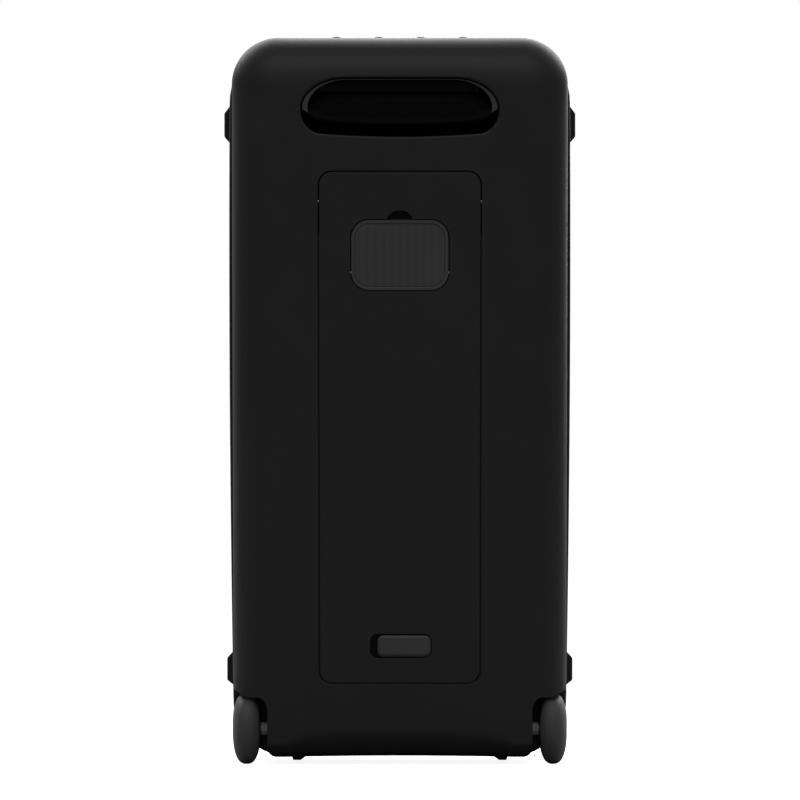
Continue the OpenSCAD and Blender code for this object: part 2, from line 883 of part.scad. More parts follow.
module back_hatch() {
    pocket_y = y_rear - slot_d - slot_floor;
    color([0.11, 0.11, 0.11])
    difference() {
        union() {
            across_y(hatch_y, y_rear)
                hatch_outline(0);
            both_sides()
                box([hatch_half - 10, hatch_axis_y - hatch_block, hatch_axis_z - hatch_block],
                    [hatch_half - 1, hatch_y, hatch_axis_z + hatch_block]);
            // Back of the latch slot
            across_y(pocket_y, hatch_y)
                polygon(rounded_rect(slot_x0 - 2, slot_x1 + 2, slot_z0 - 2, slot_z1 + 2,
                    slot_r + 2, slot_r + 2));
            // Back of the finger notch
            intersection() {
                rod_y(notch_r + 2, y_rear - notch_d - 2, hatch_y, 0, notch_z);
                box([-notch_r - 3, y_rear - notch_d - 3, flap_z1 - 3],
                    [notch_r + 3, y_rear, notch_z + notch_r + 3]);
            }
            // Ears for the flap's pins
            both_sides()
                box([flap_half + flap_gap, flap_axis_y - flap_block, flap_axis_z - flap_block - 1],
                    [flap_half + flap_gap + 6, hatch_y, flap_axis_z + flap_block + 1]);
            // Stiffening ribs
            both_sides()
                box([hatch_half - 14, hatch_y - 4, hatch_z0 + 30],
                    [hatch_half - 12, hatch_y, hatch_axis_z - hatch_block - 2]);
        }
        intersection() {
            across_y(hatch_y - past, y_rear + past)
                flap_outline(flap_gap);
            box([-flap_half - 2, hatch_y - past, flap_z0 - 2], [flap_half + 2, y_rear + past, flap_z1 + 2]);
        }
        rod_y(notch_r, y_rear - notch_d, y_rear + past, 0, notch_z);
        across_y(y_rear - slot_d, y_rear + past)
            polygon(rounded_rect(slot_x0, slot_x1, slot_z0, slot_z1, slot_r, slot_r));
        // Slot for the latch's stem
        box([slider_mid - stem_x / 2 - slip, pocket_y - past, latch_z - stem_z / 2 - slip],
            [slider_mid + stem_x / 2 + latch_travel + slip, y_rear, latch_z + stem_z / 2 + slip]);
        both_sides()
            rod_x(hatch_pin_r + snug, hatch_half - 9, hatch_half, hatch_axis_y, hatch_axis_z);
        both_sides()
            rod_x(flap_pin_r + run, flap_half, flap_half + flap_gap + 6 + past, flap_axis_y, flap_axis_z);
    }
}

gasket_w = 2.4;

module hatch_gasket() {
    out = hatch_half - 0.3;
    color([0.02, 0.02, 0.02])
    difference() {
        box([-out, y_inner + slip, hatch_z0 + 0.5], [out, hatch_y, bay_step_z - 8]);
        box([gasket_w - out, y_inner, hatch_z0 + 0.5 + gasket_w], [out - gasket_w, y_rear, bay_step_z]);
        // Corners follow the hatch's own
        difference() {
            box([-out - past, y_inner, hatch_z0 - past], [out + past, y_rear, hatch_z0 + hatch_r]);
            across_y(y_inner - past, y_rear + past)
                polygon(rounded_rect(-out, out, hatch_z0 + 0.5, hatch_z0 + 60, hatch_r - 0.3, 4));
        }
    }
}

module hatch_pins() {
    color([0.7, 0.7, 0.72])
    both_sides()
        rod_x(hatch_pin_r, hatch_half - 9, bay_top_half + bay_wall + 3, hatch_axis_y, hatch_axis_z);
}

module latch_slider() {
    face_y = y_rear + 0.5;
    z0 = slot_z0 + slider_side;
    z1 = slot_z1 - slider_side;
    color([0.17, 0.17, 0.17]) {
        across_y(y_rear - slot_d + slip, face_y - 1)
            polygon(rounded_rect(slider_x0, slider_x1, z0, z1, slider_r, slider_r));
        across_y(face_y - 1, face_y)
            polygon(rounded_rect(slider_x0 + 1.5, slider_x1 - 1.5, z0 + 1.5, z1 - 1.5,
                slider_r - 1, slider_r - 1));
        box([slider_mid - stem_x / 2, y_rear - slot_d - slot_floor - slip, latch_z - stem_z / 2],
            [slider_mid + stem_x / 2, y_rear - slot_d + slip, latch_z + stem_z / 2]);
    }
}

module latch_bolt() {
    y1 = y_rear - slot_d - slot_floor - slip;
    color([0.5, 0.5, 0.52]) {
        box([slider_mid - 20, y1 - 3, latch_z - stem_z], [slider_mid + 20, y1, latch_z + stem_z]);
        box([slider_mid - 8, y1 - 3, bay_z0 + slip], [slider_mid + 8, y1, latch_z - stem_z]);
    }
}

module socket_flap() {
    face_y = y_rear - flap_set;
    rib_step = 2 * (flap_half - 8) / flap_ribs;
    color([0.18, 0.18, 0.18])
    difference() {
        union() {
            across_y(face_y - flap_t, face_y)
                flap_outline(0);
            across_y(face_y, y_rear)
                difference() {
                    flap_outline(0);
                    flap_outline(-3);
                }
            for (i = [0:flap_ribs])
                box([-flap_half + 7.5 + i * rib_step, face_y, flap_z0 + 6],
                    [-flap_half + 8.5 + i * rib_step, y_rear, flap_z1 - 6]);
            both_sides()
                box([flap_half - 8, flap_axis_y - flap_block, flap_axis_z - flap_block],
                    [flap_half - 0.8, face_y - flap_t, flap_axis_z + flap_block]);
        }
        both_sides()
            rod_x(flap_pin_r + snug, flap_half - 7, flap_half + past, flap_axis_y, flap_axis_z);
    }
}

module flap_pins() {
    color([0.7, 0.7, 0.72])
    both_sides()
        rod_x(flap_pin_r, flap_half - 7, flap_half + flap_gap + 5, flap_axis_y, flap_axis_z);
}

// Wheels and feet ----------------------------------------------------------------------

// Turns an outline drawn as radius and X about the axle on the +X side
module wheel_turn() {
    translate([wheel_x, axle_y, axle_z])
        rotate([0, 90, 0])
            rotate_extrude($fn = 64)
                children();
}

module tyre_shape() {
    steps = 14;
    wheel_turn()
        polygon(concat(
            [for (i = [0:steps]) let (r = hub_r + (wheel_r - hub_r) * sin(90 * i / steps))
                [r, -wheel_side(r)]],
            [for (i = [steps - 1:-1:0]) let (r = hub_r + (wheel_r - hub_r) * sin(90 * i / steps))
                [r, wheel_side(r)]]
        ));
}

module hub_shape() {
    steps = 5;
    inner = axle_r + run;
    wheel_turn()
        polygon(concat(
            [for (i = [0:steps]) let (r = inner + (hub_r - inner) * i / steps) [r, -wheel_side(r)]],
            [for (i = [steps:-1:0]) let (r = head_r + 1 + (hub_r - head_r - 1) * i / steps)
                [r, wheel_side(r)]],
            [[head_r + 1, web_w - wheel_w / 2], [inner, web_w - wheel_w / 2]]
        ));
}

// Shoulder bolt that carries a wheel
module axle_shape() {
    head_x = wheel_x - wheel_w / 2 + web_w + slip;
    rod_x(axle_r, well_x - well_wall - axle_boss_d + 2, head_x, axle_y, axle_z);
    rod_x(head_r, head_x, head_x + head_t, axle_y, axle_z);
}

module left_tyre() {
    color([0.25, 0.25, 0.26])
        tyre_shape();
}

module left_hub() {
    color([0.2, 0.2, 0.21])
        hub_shape();
}

module left_axle() {
    color([0.7, 0.7, 0.72])
        axle_shape();
}

module right_tyre() {
    color([0.25, 0.25, 0.26])
        mirror([1, 0, 0])
            tyre_shape();
}

module right_hub() {
    color([0.2, 0.2, 0.21])
        mirror([1, 0, 0])
            hub_shape();
}

module right_axle() {
    color([0.7, 0.7, 0.72])
        mirror([1, 0, 0])
            axle_shape();
}

module wheel_spacers() {
    color([0.3, 0.3, 0.3])
    both_sides()
        difference() {
            rod_x(spacer_r, well_x, wheel_x - wheel_w / 2 - slip, axle_y, axle_z);
            rod_x(axle_r + run, well_x - past, wheel_x, axle_y, axle_z);
        }
}

module front_feet() {
    color([0.04, 0.04, 0.04])
    both_sides()
        across_y(y_front + 18, y_front + 58)
            polygon([[foot_x - 11, frame_z0], [foot_x, 0], [foot_x + 8, 0], [foot_x + 10.5, frame_z0]]);
}

// Controls -----------------------------------------------------------------------------

// Outline of the control well, grown by a margin
module well_outline(grow) {
    polygon(rounded_rect(-well_w / 2 - grow, well_w / 2 + grow, well_y0 - grow, well_y1 + grow,
        well_r2 + grow, well_r2 + grow));
}

// Stands children at each small knob
module at_knobs() {
    for (i = [-1.5:1:1.5])
        translate([i * knob_pitch, knob_y, 0])
            children();
}

// Stands children at each button
module at_buttons() {
    for (x = button_x, side = [-1, 1])
        translate([side * x, control_y, 0])
            children();
}

module top_panel() {
    flange_z = top_z - shell_wall;
    floor_z = well_z - well_t;
    color([0.06, 0.06, 0.06])
    difference() {
        union() {
            translate([0, 0, floor_z])
                linear_extrude(height = flange_z - floor_z)
                    well_outline(well_t);
            translate([0, 0, flange_z - well_t])
                linear_extrude(height = well_t)
                    well_outline(8);
            // Posts that carry the board
            for (x = [-well_w / 2 + 10, well_w / 2 - 10], y = [well_y0 + 10, well_y1 - 10])
                translate([x, y, board_z])
                    cylinder(r = 4, h = floor_z - board_z);
        }
        translate([0, 0, well_z])
            linear_extrude(height = well_d)
                well_outline(0);
        at_knobs()
            translate([0, 0, floor_z - past])
                cylinder(r = shaft_r + 0.5, h = well_t + 2 * past);
        translate([0, control_y, floor_z - past])
            cylinder(r = shaft_r + 0.5, h = well_t + 2 * past);
        at_buttons()
            translate([0, 0, floor_z - past])
                cylinder(r = button_d / 2 + slip, h = well_t + 2 * past);
        for (x = [-jack_x, jack_x])
            translate([x, knob_y, floor_z - past])
                cylinder(r = jack_r, h = well_t + 2 * past);
    }
}

// A potentiometer that a shaft turns in
module pot() {
    difference() {
        translate([0, 0, board_z])
            cylinder(r = pot_r, h = pot_h);
        translate([0, 0, board_z + 1])
            cylinder(r = shaft_r + run, h = pot_h);
    }
}

module control_board() {
    switch_z = well_z - well_t - 2 - button_travel - slip;
    color([0.05, 0.3, 0.15]) {
        difference() {
            box([-well_w / 2 + 2, well_y0 + 2, board_z - board_t], [well_w / 2 - 2, well_y1 - 2, board_z]);
            for (x = [-jack_x, jack_x])
                translate([x, knob_y, board_z - board_t - past])
                    cylinder(r = jack_r + slip, h = board_t + 2 * past);
        }
        at_knobs()
            pot();
        translate([0, control_y, 0])
            pot();
        at_buttons()
            translate([0, 0, board_z])
                cylinder(r = 4, h = switch_z - board_z);
    }
}

// A knob with its shaft, standing in the control well
module knob(x, y, d, top, edge) {
    translate([x, y, 0]) {
        rotate_extrude()
            polygon([
                [0, well_z + knob_lift], [d / 2, well_z + knob_lift], [d / 2, top - edge],
                [d / 2 - edge * 0.3, top - edge * 0.3], [d / 2 - edge, top], [0, top]
            ]);
        translate([0, 0, board_z + 2])
            cylinder(r = shaft_r, h = well_z + knob_lift + 1 - board_z - 2);
        // Pointer on the rim
        box([-0.8, d / 2 - 0.5, well_z + knob_lift], [0.8, d / 2 + 0.6, top - edge]);
    }
}

module small_knob(place) {
    color([0.16, 0.16, 0.17])
        knob((place - 2.5) * knob_pitch, knob_y, knob_d, top_z + knob_rise, 2.5);
}

module volume_knob() {
    color([0.14, 0.14, 0.15])
        knob(0, control_y, volume_d, well_z + knob_lift + volume_h, 2);
}

module button(x) {
    color([0.15, 0.15, 0.16])
    translate([x, control_y, 0])
        rotate_extrude()
            polygon([
                [0, well_z - well_t - 2], [button_d / 2 - 2, well_z - well_t - 2],
                [button_d / 2, well_z - well_t], [button_d / 2, well_z + button_rise - 1],
                [button_d / 2 - 1, well_z + button_rise], [0, well_z + button_rise]
            ]);
}

module instrument_jacks() {
    color([0.5, 0.5, 0.52])
    for (x = [-jack_x, jack_x])
        translate([x, knob_y, 0])
            difference() {
                union() {
                    translate([0, 0, well_z - jack_depth])
                        cylinder(r = jack_r - snug, h = jack_depth);
                    translate([0, 0, well_z])
                        cylinder(r = jack_r + 2, h = 2);
                }
                translate([0, 0, well_z - jack_depth + 2])
                    cylinder(r = jack_bore, h = jack_depth + past);
            }
}

// Screws that hold the battery bay and the handle cup to the shell's back wall from inside
module cabinet_screws() {
    color([0.6, 0.6, 0.62]) {
        both_sides()
            for (z = [hatch_z0 + 60, 250, 400, 520])
                rod_y(3, y_inner - bay_wall - 2.5, y_inner - bay_wall, hatch_half + 6.2, z);
    }
}

rear_shell();
front_frame();
baffle();
grille();
light_rings();
top_panel();
control_board();
woofer_basket(upper_woofer_z);  // upper_woofer_basket
woofer_motor(upper_woofer_z);  // upper_woofer_motor
woofer_cone(upper_woofer_z);  // upper_woofer_cone
woofer_surround(upper_woofer_z);  // upper_woofer_surround
woofer_basket(low_woofer_z);  // lower_woofer_basket
woofer_motor(low_woofer_z);  // lower_woofer_motor
woofer_cone(low_woofer_z);  // lower_woofer_cone
woofer_surround(low_woofer_z);  // lower_woofer_surround
tweeter_waveguide(tweeter_x);  // left_tweeter_waveguide
tweeter_driver(tweeter_x);  // left_tweeter_driver
tweeter_waveguide(-tweeter_x);  // right_tweeter_waveguide
tweeter_driver(-tweeter_x);  // right_tweeter_driver
port_tubes();
cross_brace();
amplifier_board();
heat_sink();
power_supply();
wiring_loom();
handle_cup();
grip_liner();
battery_bay();
battery_pack();
battery_contacts();
socket_panel();
mains_inlet();
signal_sockets();
back_hatch();
hatch_gasket();
hatch_pins();
latch_slider();
latch_bolt();
socket_flap();
flap_pins();
left_tyre();
left_hub();
left_axle();
right_tyre();
right_hub();
right_axle();
wheel_spacers();
front_feet();
side_bumpers();
small_knob(1);  // knob_1
small_knob(2);  // knob_2
small_knob(3);  // knob_3
small_knob(4);  // knob_4
volume_knob();
button(-button_x[1]);  // button_1
button(-button_x[0]);  // button_2
button(button_x[0]);  // button_3
button(button_x[1]);  // button_4
instrument_jacks();
cabinet_screws();
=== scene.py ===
"""Wheeled party speaker: the looks of every piece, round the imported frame."""
import json
import math

import bmesh
import bpy
from bpy.props import FloatProperty, FloatVectorProperty, IntProperty, PointerProperty
from mathutils import Matrix, Vector, noise
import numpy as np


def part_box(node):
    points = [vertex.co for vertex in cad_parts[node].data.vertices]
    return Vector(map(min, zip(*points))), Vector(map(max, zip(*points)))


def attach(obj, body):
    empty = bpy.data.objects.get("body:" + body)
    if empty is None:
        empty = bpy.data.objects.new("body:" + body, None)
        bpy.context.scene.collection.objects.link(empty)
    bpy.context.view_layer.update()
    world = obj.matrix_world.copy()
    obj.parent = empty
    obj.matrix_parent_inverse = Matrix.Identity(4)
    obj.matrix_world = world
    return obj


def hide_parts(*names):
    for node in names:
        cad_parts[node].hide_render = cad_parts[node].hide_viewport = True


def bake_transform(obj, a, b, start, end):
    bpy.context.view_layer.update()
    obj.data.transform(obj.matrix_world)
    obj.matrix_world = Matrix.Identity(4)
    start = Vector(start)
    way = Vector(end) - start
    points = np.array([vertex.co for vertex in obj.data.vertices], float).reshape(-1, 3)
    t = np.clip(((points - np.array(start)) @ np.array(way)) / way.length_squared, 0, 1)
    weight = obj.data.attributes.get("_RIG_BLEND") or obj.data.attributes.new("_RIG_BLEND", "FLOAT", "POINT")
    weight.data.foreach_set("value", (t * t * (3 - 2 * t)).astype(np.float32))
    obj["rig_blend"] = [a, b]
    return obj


bl_info = {
    "name": "Wheeled party speaker",
    "version": (1, 0, 0),
    "blender": (4, 5, 0),
    "location": "View3D > Sidebar > Speaker",
    "description": "Builds a wheeled party speaker with its finishes on its packed frame",
    "category": "Object",
}

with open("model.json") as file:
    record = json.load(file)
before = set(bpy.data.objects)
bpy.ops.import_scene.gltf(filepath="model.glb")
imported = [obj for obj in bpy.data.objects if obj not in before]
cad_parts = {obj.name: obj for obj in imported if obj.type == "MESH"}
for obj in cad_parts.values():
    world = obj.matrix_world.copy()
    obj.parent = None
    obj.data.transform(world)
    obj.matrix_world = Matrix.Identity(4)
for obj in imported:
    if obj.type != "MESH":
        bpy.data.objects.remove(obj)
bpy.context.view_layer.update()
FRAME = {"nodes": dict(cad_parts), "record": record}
MM = 0.001


def corners(node):
    """Lowest and highest corner of a node of the frame."""
    low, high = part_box(node)
    return Vector(low), Vector(high)


SHELL_LOW, SHELL_HIGH = corners("rear_shell")
FRAME_LOW, FRAME_HIGH = corners("front_frame")
HATCH_LOW, HATCH_HIGH = corners("back_hatch")
FLAP_LOW, FLAP_HIGH = corners("socket_flap")
CUP_LOW, CUP_HIGH = corners("handle_cup")
TYRE_LOW, TYRE_HIGH = corners("left_tyre")
HUB_LOW, HUB_HIGH = corners("left_hub")
WELL_LOW, WELL_HIGH = corners("top_panel")
GRILLE_LOW, GRILLE_HIGH = corners("grille")
BAFFLE_LOW, BAFFLE_HIGH = corners("baffle")
BACK_Y = SHELL_HIGH.y
TOP_Z = SHELL_HIGH.z
AXLE = Vector(((TYRE_LOW.x + TYRE_HIGH.x) / 2, (TYRE_LOW.y + TYRE_HIGH.y) / 2,
               (TYRE_LOW.z + TYRE_HIGH.z) / 2))


# Sizes and colours -------------------------------------------------------------------

class ShellSizes(bpy.types.PropertyGroup):
    """Roundings of the rear shell and the front frame"""
    corner: FloatProperty(name="Top corner", description="Radius of the shell's top corners",
                          default=48 * MM, unit="LENGTH")
    side: FloatProperty(name="Upright edge", description="Rounding of the upright rear edges",
                        default=36 * MM, unit="LENGTH")
    top: FloatProperty(name="Top edge", description="Rounding from the top to the back",
                       default=43 * MM, unit="LENGTH")
    low: FloatProperty(name="Low edge", description="Rounding from the underside to the back",
                       default=27 * MM, unit="LENGTH")
    depth: FloatProperty(name="Rounding depth", description="How far the roundings reach forwards",
                         default=39 * MM, unit="LENGTH")
    foot: FloatProperty(name="Foot corner", description="Radius of the lower corners before the wheels",
                        default=57 * MM, unit="LENGTH")
    wall: FloatProperty(name="Wall", description="Wall of the shell", default=4 * MM, unit="LENGTH")
    taper: FloatProperty(name="Taper", description="How much each side draws in at the foot",
                         default=2 * MM, unit="LENGTH")
    arch: FloatProperty(name="Arch", description="Rise of the underside at its middle",
                        default=1.3 * MM, unit="LENGTH")
    front_round: FloatProperty(name="Front edge", description="Rounding of the frame's front edge",
                               default=5 * MM, unit="LENGTH")


class HandleSizes(bpy.types.PropertyGroup):
    """The hand pocket's mouth"""
    half: FloatProperty(name="Half width", description="Half the width of the mouth",
                        default=101 * MM, unit="LENGTH")
    low: FloatProperty(name="Lower edge", description="Height of the mouth's lower edge",
                       default=639 * MM, unit="LENGTH")
    high: FloatProperty(name="Upper edge", description="Height of the mouth's upper edge",
                        default=699 * MM, unit="LENGTH")
    upper_corner: FloatProperty(name="Upper corners", description="Width of the upper corners",
                                default=46 * MM, unit="LENGTH")
    upper_rise: FloatProperty(name="Upper corner rise", description="Height of the upper corners",
                              default=31 * MM, unit="LENGTH")
    lower_corner: FloatProperty(name="Lower corners", description="Width of the lower corners",
                                default=22 * MM, unit="LENGTH")
    lower_rise: FloatProperty(name="Lower corner rise", description="Height of the lower corners",
                              default=25 * MM, unit="LENGTH")
    lip: FloatProperty(name="Lip", description="Rounding of the mouth's edge",
                       default=2.4 * MM, unit="LENGTH")
    sag: FloatProperty(name="Sag", description="How far the lower edge bows down",
                       default=3 * MM, unit="LENGTH")


class HatchSizes(bpy.types.PropertyGroup):
    """The back hatch, its flap and its latch"""
    corner: FloatProperty(name="Hatch corner", description="Corner radius of the hatch",
                          default=13.3 * MM, unit="LENGTH")
    gap: FloatProperty(name="Hatch gap", description="Groove round the hatch",
                       default=1.2 * MM, unit="LENGTH")
    taper: FloatProperty(name="Hatch taper", description="How much each side of the hatch draws in",
                         default=1.1 * MM, unit="LENGTH")
    flap_corner: FloatProperty(name="Flap corner", description="Corner radius of the flap",
                               default=18 * MM, unit="LENGTH")
    flap_gap: FloatProperty(name="Flap gap", description="Groove round the flap",
                            default=1 * MM, unit="LENGTH")
    border: FloatProperty(name="Flap border", description="Width of the flap's raised border",
                          default=3 * MM, unit="LENGTH")
    ribs: IntProperty(name="Rib steps", description="Steps between the flap's ribs", default=10)
    edge: FloatProperty(name="Edge", description="Rounding of the hatch's edges",
                        default=0.7 * MM, unit="LENGTH")


class WheelSizes(bpy.types.PropertyGroup):
    """Wheels and their wells"""
    power: FloatProperty(name="Squareness", description="Power of the tyre's oval", default=2.55)
    hub: FloatProperty(name="Hub", description="Radius of the hub", default=22 * MM, unit="LENGTH")
    gap: FloatProperty(name="Gap", description="Clearance round a wheel",
                       default=3.8 * MM, unit="LENGTH")
    inner: FloatProperty(name="Inner wall", description="Distance of the well's wall from the middle",
                         default=135 * MM, unit="LENGTH")
    fillet: FloatProperty(name="Fillet", description="Rounding inside the well",
                          default=10 * MM, unit="LENGTH")


class GrilleSizes(bpy.types.PropertyGroup):
    """Holes of the front grille"""
    pitch: FloatProperty(name="Pitch", description="Distance between holes",
                         default=7 * MM, unit="LENGTH")
    hole: FloatProperty(name="Hole", description="Radius of a hole", default=2.35 * MM, unit="LENGTH")
    margin: FloatProperty(name="Margin", description="Plain metal left along the edges",
                          default=5 * MM, unit="LENGTH")


def tone(name, description, value):
    """A colour property, in linear light."""
    return FloatVectorProperty(name=name, description=description, default=value,
                               subtype="COLOR", size=3, min=0, max=1)


class Colours(bpy.types.PropertyGroup):
    """Base colours of the finishes"""
    shell: tone("Shell", "Textured black plastic of the shell", (0.0158, 0.0158, 0.0161))
    frame: tone("Front frame", "Smoother black plastic of the front frame", (0.016, 0.016, 0.0165))
    flap: tone("Flap", "Grey-black plastic of the flap", (0.074, 0.074, 0.075))
    latch: tone("Latch", "Grey-black plastic of the latch", (0.074, 0.074, 0.075))
    # Partly glossy black plastic, partly painted shade: near black so the hand pocket reads as dark as the shade deep
    # inside it.
    pocket: tone("Hand pocket", "Glossy black plastic of the pocket", (0.0012, 0.0012, 0.0013))
    liner: tone("Grip liner", "Soft grey rubber of the grip", (0.075, 0.075, 0.076))
    rubber: tone("Rubber", "Rubber of the feet and bumpers", (0.014, 0.014, 0.0145))
    tyre: tone("Tyre", "Grey rubber of the wheels", (0.094, 0.094, 0.096))
    hub: tone("Hub", "Plastic of the hubs", (0.05, 0.05, 0.052))
    grille: tone("Grille", "Powder coat of the grille", (0.017, 0.017, 0.018))
    cone: tone("Cone", "Pressed fibre of the cones", (0.028, 0.028, 0.030))
    panel: tone("Panels", "Plastic of the bay and the panels", (0.05, 0.05, 0.052))
    knob: tone("Knobs", "Soft plastic of the knobs", (0.035, 0.035, 0.037))
    circuit: tone("Circuit boards", "Solder resist", (0.008, 0.075, 0.030))


class StudioLight(bpy.types.PropertyGroup):
    """Strength of the studio's lights"""
    top: FloatProperty(name="Overhead", description="Power of the overhead softbox", default=78,
                       unit="POWER")
    upper: FloatProperty(name="Upper back", description="Power of the softbox above the back",
                         default=7.6, unit="POWER")
    side: FloatProperty(name="Sides", description="Power of each side strip", default=2.0, unit="POWER")
    front: FloatProperty(name="Front", description="Power of the softbox before the grille",
                         default=26, unit="POWER")
    room: FloatProperty(name="Room", description="Strength of the light from all round",
                        default=0.235)


# Shapes ------------------------------------------------------------------------------

def arc(cx, cz, radius, start, end, steps=10):
    """Points of an arc, with angles in degrees."""
    turn = [math.radians(start + (end - start) * i / steps) for i in range(steps + 1)]
    return [(cx + radius * math.cos(a), cz + radius * math.sin(a)) for a in turn]


def rounded_rect(x0, x1, z0, z1, low, high, grow=0.0, steps=10):
    """A rectangle with one radius for its low corners and one for its high corners."""
    x0, x1, z0, z1 = x0 - grow, x1 + grow, z0 - grow, z1 + grow
    low, high = max(low + grow, 0.2 * MM), max(high + grow, 0.2 * MM)
    return (arc(x1 - high, z1 - high, high, 0, 90, steps)
            + arc(x0 + high, z1 - high, high, 90, 180, steps)
            + arc(x0 + low, z0 + low, low, 180, 270, steps)
            + arc(x1 - low, z0 + low, low, 270, 360, steps))


def circle(cx, cz, radius, steps=48):
    """Points round a circle."""
    return arc(cx, cz, radius, 0, 360 * (steps - 1) / steps, steps - 1)


def at_y(outline, y):
    """An outline in X and Z, placed at a depth."""
    return [(x, y, z) for x, z in outline]


def at_z(outline, z):
    """An outline in X and Y, placed at a height."""
    return [(x, y, z) for x, y in outline]


def lofted(rings):
    """A closed skin through rings that have the same number of points."""
    bm = bmesh.new()
    loops = []
    for ring in rings:
        verts = [bm.verts.new(p) for p in ring]
        loops.append([bm.edges.new((verts[i - 1], verts[i])) for i in range(len(verts))])
    for first, second in zip(loops, loops[1:]):
        bmesh.ops.bridge_loops(bm, edges=first + second)
    for end in (loops[0], loops[-1]):
        bmesh.ops.contextual_create(bm, geom=end)
    bmesh.ops.recalc_face_normals(bm, faces=bm.faces)
    return bm


def edge_steps(radius, steps=4):
    """Pairs of inset and depth that round an edge over a quarter circle, outermost face first."""
    turn = [math.pi / 2 * i / steps for i in range(steps + 1)]
    return [(radius * (1 - math.sin(a)), radius * (1 - math.cos(a))) for a in turn]


def slab(outline, y0, y1, front=0.0, back=0.0, steps=4):
    """A plate between two depths. outline(grow) gives its points, and front and back round its edges."""
    rings = []
    if front:
        rings += [at_y(outline(-inset), y0 + depth) for inset, depth in edge_steps(front, steps)]
    else:
        rings.append(at_y(outline(0.0), y0))
    if back:
        rings += [at_y(outline(-inset), y1 - depth) for inset, depth in reversed(edge_steps(back, steps))]
    else:
        rings.append(at_y(outline(0.0), y1))
    return lofted(rings)


def opening(outline, y0, y1, lip, past=2 * MM, steps=5):
    """A cutter from y0 out through the surface at y1, which leaves a rounded lip there."""
    rings = [at_y(outline(0.0), y0)]
    rings += [at_y(outline(lip - inset), y1 - lip + depth)
              for inset, depth in [(lip * math.cos(math.pi / 2 * i / steps),
                                    lip * math.sin(math.pi / 2 * i / steps))
                                   for i in range(steps + 1)]]
    rings.append(at_y(outline(lip + 0.01 * MM), y1 + past))
    return lofted(rings)


def turned(profile, centre, axis="Z", segments=96, closed=True):
    """A shape turned from (radius, height) points about an axis through centre."""
    bm = bmesh.new()
    verts = [bm.verts.new((r, 0, h)) for r, h in profile]
    edges = [bm.edges.new(pair) for pair in zip(verts, verts[1:])]
    if closed:
        edges.append(bm.edges.new((verts[-1], verts[0])))
    bmesh.ops.spin(bm, geom=verts + edges, cent=(0, 0, 0), axis=(0, 0, 1), angle=math.tau,
                   steps=segments, use_merge=True)
    bmesh.ops.remove_doubles(bm, verts=bm.verts, dist=1e-6)
    loose = [e for e in bm.edges if not e.link_faces]
    bmesh.ops.delete(bm, geom=loose, context="EDGES")
    turn = {"Z": Matrix.Identity(4), "-Y": Matrix.Rotation(math.pi / 2, 4, "X"),
            "X": Matrix.Rotation(math.pi / 2, 4, "Y"), "-X": Matrix.Rotation(-math.pi / 2, 4, "Y")}[axis]
    bmesh.ops.transform(bm, matrix=Matrix.Translation(centre) @ turn, verts=bm.verts)
    bmesh.ops.recalc_face_normals(bm, faces=bm.faces)
    return bm


def fluted(profile, centre, flutes, depth, flute_low, flute_high, segments=4):
    """An upright knob from (radius, height) points, with flutes between two heights."""
    count = flutes * segments
    rings = []
    for r, h in profile:
        share = 1.0 if flute_low <= h <= flute_high else 0.0
        ring = []
        for i in range(count):
            angle = math.tau * i / count
            cut = depth * share * (0.5 - 0.5 * math.cos(angle * flutes)) ** 2
            ring.append((centre[0] + (r - cut) * math.cos(angle),
                         centre[1] + (r - cut) * math.sin(angle), centre[2] + h))
        rings.append(ring)
    return lofted(rings)


def block(low, high, edge=0.0, segments=3):
    """A box from one corner to the opposite one, with rounded edges."""
    low, high = Vector(low), Vector(high)
    bm = bmesh.new()
    size = high - low
    bmesh.ops.create_cube(bm, size=1.0, matrix=Matrix.Translation((low + high) / 2)
                          @ Matrix.Diagonal((*size, 1.0)))
    if edge:
        bmesh.ops.bevel(bm, geom=bm.edges[:], offset=edge, offset_type="OFFSET", segments=segments,
                        profile=0.5, affect="EDGES", clamp_overlap=True, material=-1)
    return bm


def mirrored(bm):
    """The same shape on the other side of the cabinet."""
    other = bm.copy()
    bmesh.ops.transform(other, matrix=Matrix.Diagonal((-1, 1, 1, 1)), verts=other.verts)
    bmesh.ops.reverse_faces(other, faces=other.faces)
    return other


def joined(*shapes):
    """Several shapes in one mesh."""
    mesh = bpy.data.meshes.new("joined")
    whole = bmesh.new()
    for bm in shapes:
        bm.to_mesh(mesh)
        whole.from_mesh(mesh)
        bm.free()
    bpy.data.meshes.remove(mesh)
    return whole


def bare(bm, name="cutter"):
    """A plain object that holds a shape while it is worked on."""
    mesh = bpy.data.meshes.new(name)
    bm.to_mesh(mesh)
    bm.free()
    obj = bpy.data.objects.new(name, mesh)
    bpy.context.scene.collection.objects.link(obj)
    return obj


def carved(bm, *cutters, operation="DIFFERENCE"):
    """A shape with others cut from it or joined to it."""
    obj = bare(bm, "carved")
    tools = [bare(cutter) for cutter in cutters]
    for tool in tools:
        step = obj.modifiers.new("cut", "BOOLEAN")
        step.operation = operation
        step.solver = "EXACT"
        step.object = tool
    bpy.context.view_layer.update()
    graph = bpy.context.evaluated_depsgraph_get()
    mesh = bpy.data.meshes.new_from_object(obj.evaluated_get(graph))
    for done in [obj, *tools]:
        old = done.data
        bpy.data.objects.remove(done)
        bpy.data.meshes.remove(old)
    result = bmesh.new()
    result.from_mesh(mesh)
    bpy.data.meshes.remove(mesh)
    return result


def smooth_shaded(obj, angle=32):
    """Smooth faces with sharp edges above an angle, and normals that keep flat faces flat."""
    for face in obj.data.polygons:
        face.use_smooth = True
    obj.data.set_sharp_from_angle(angle=math.radians(angle))
    weights = obj.modifiers.new("weighted_normals", "WEIGHTED_NORMAL")
    weights.keep_sharp = True
    weights.weight = 80


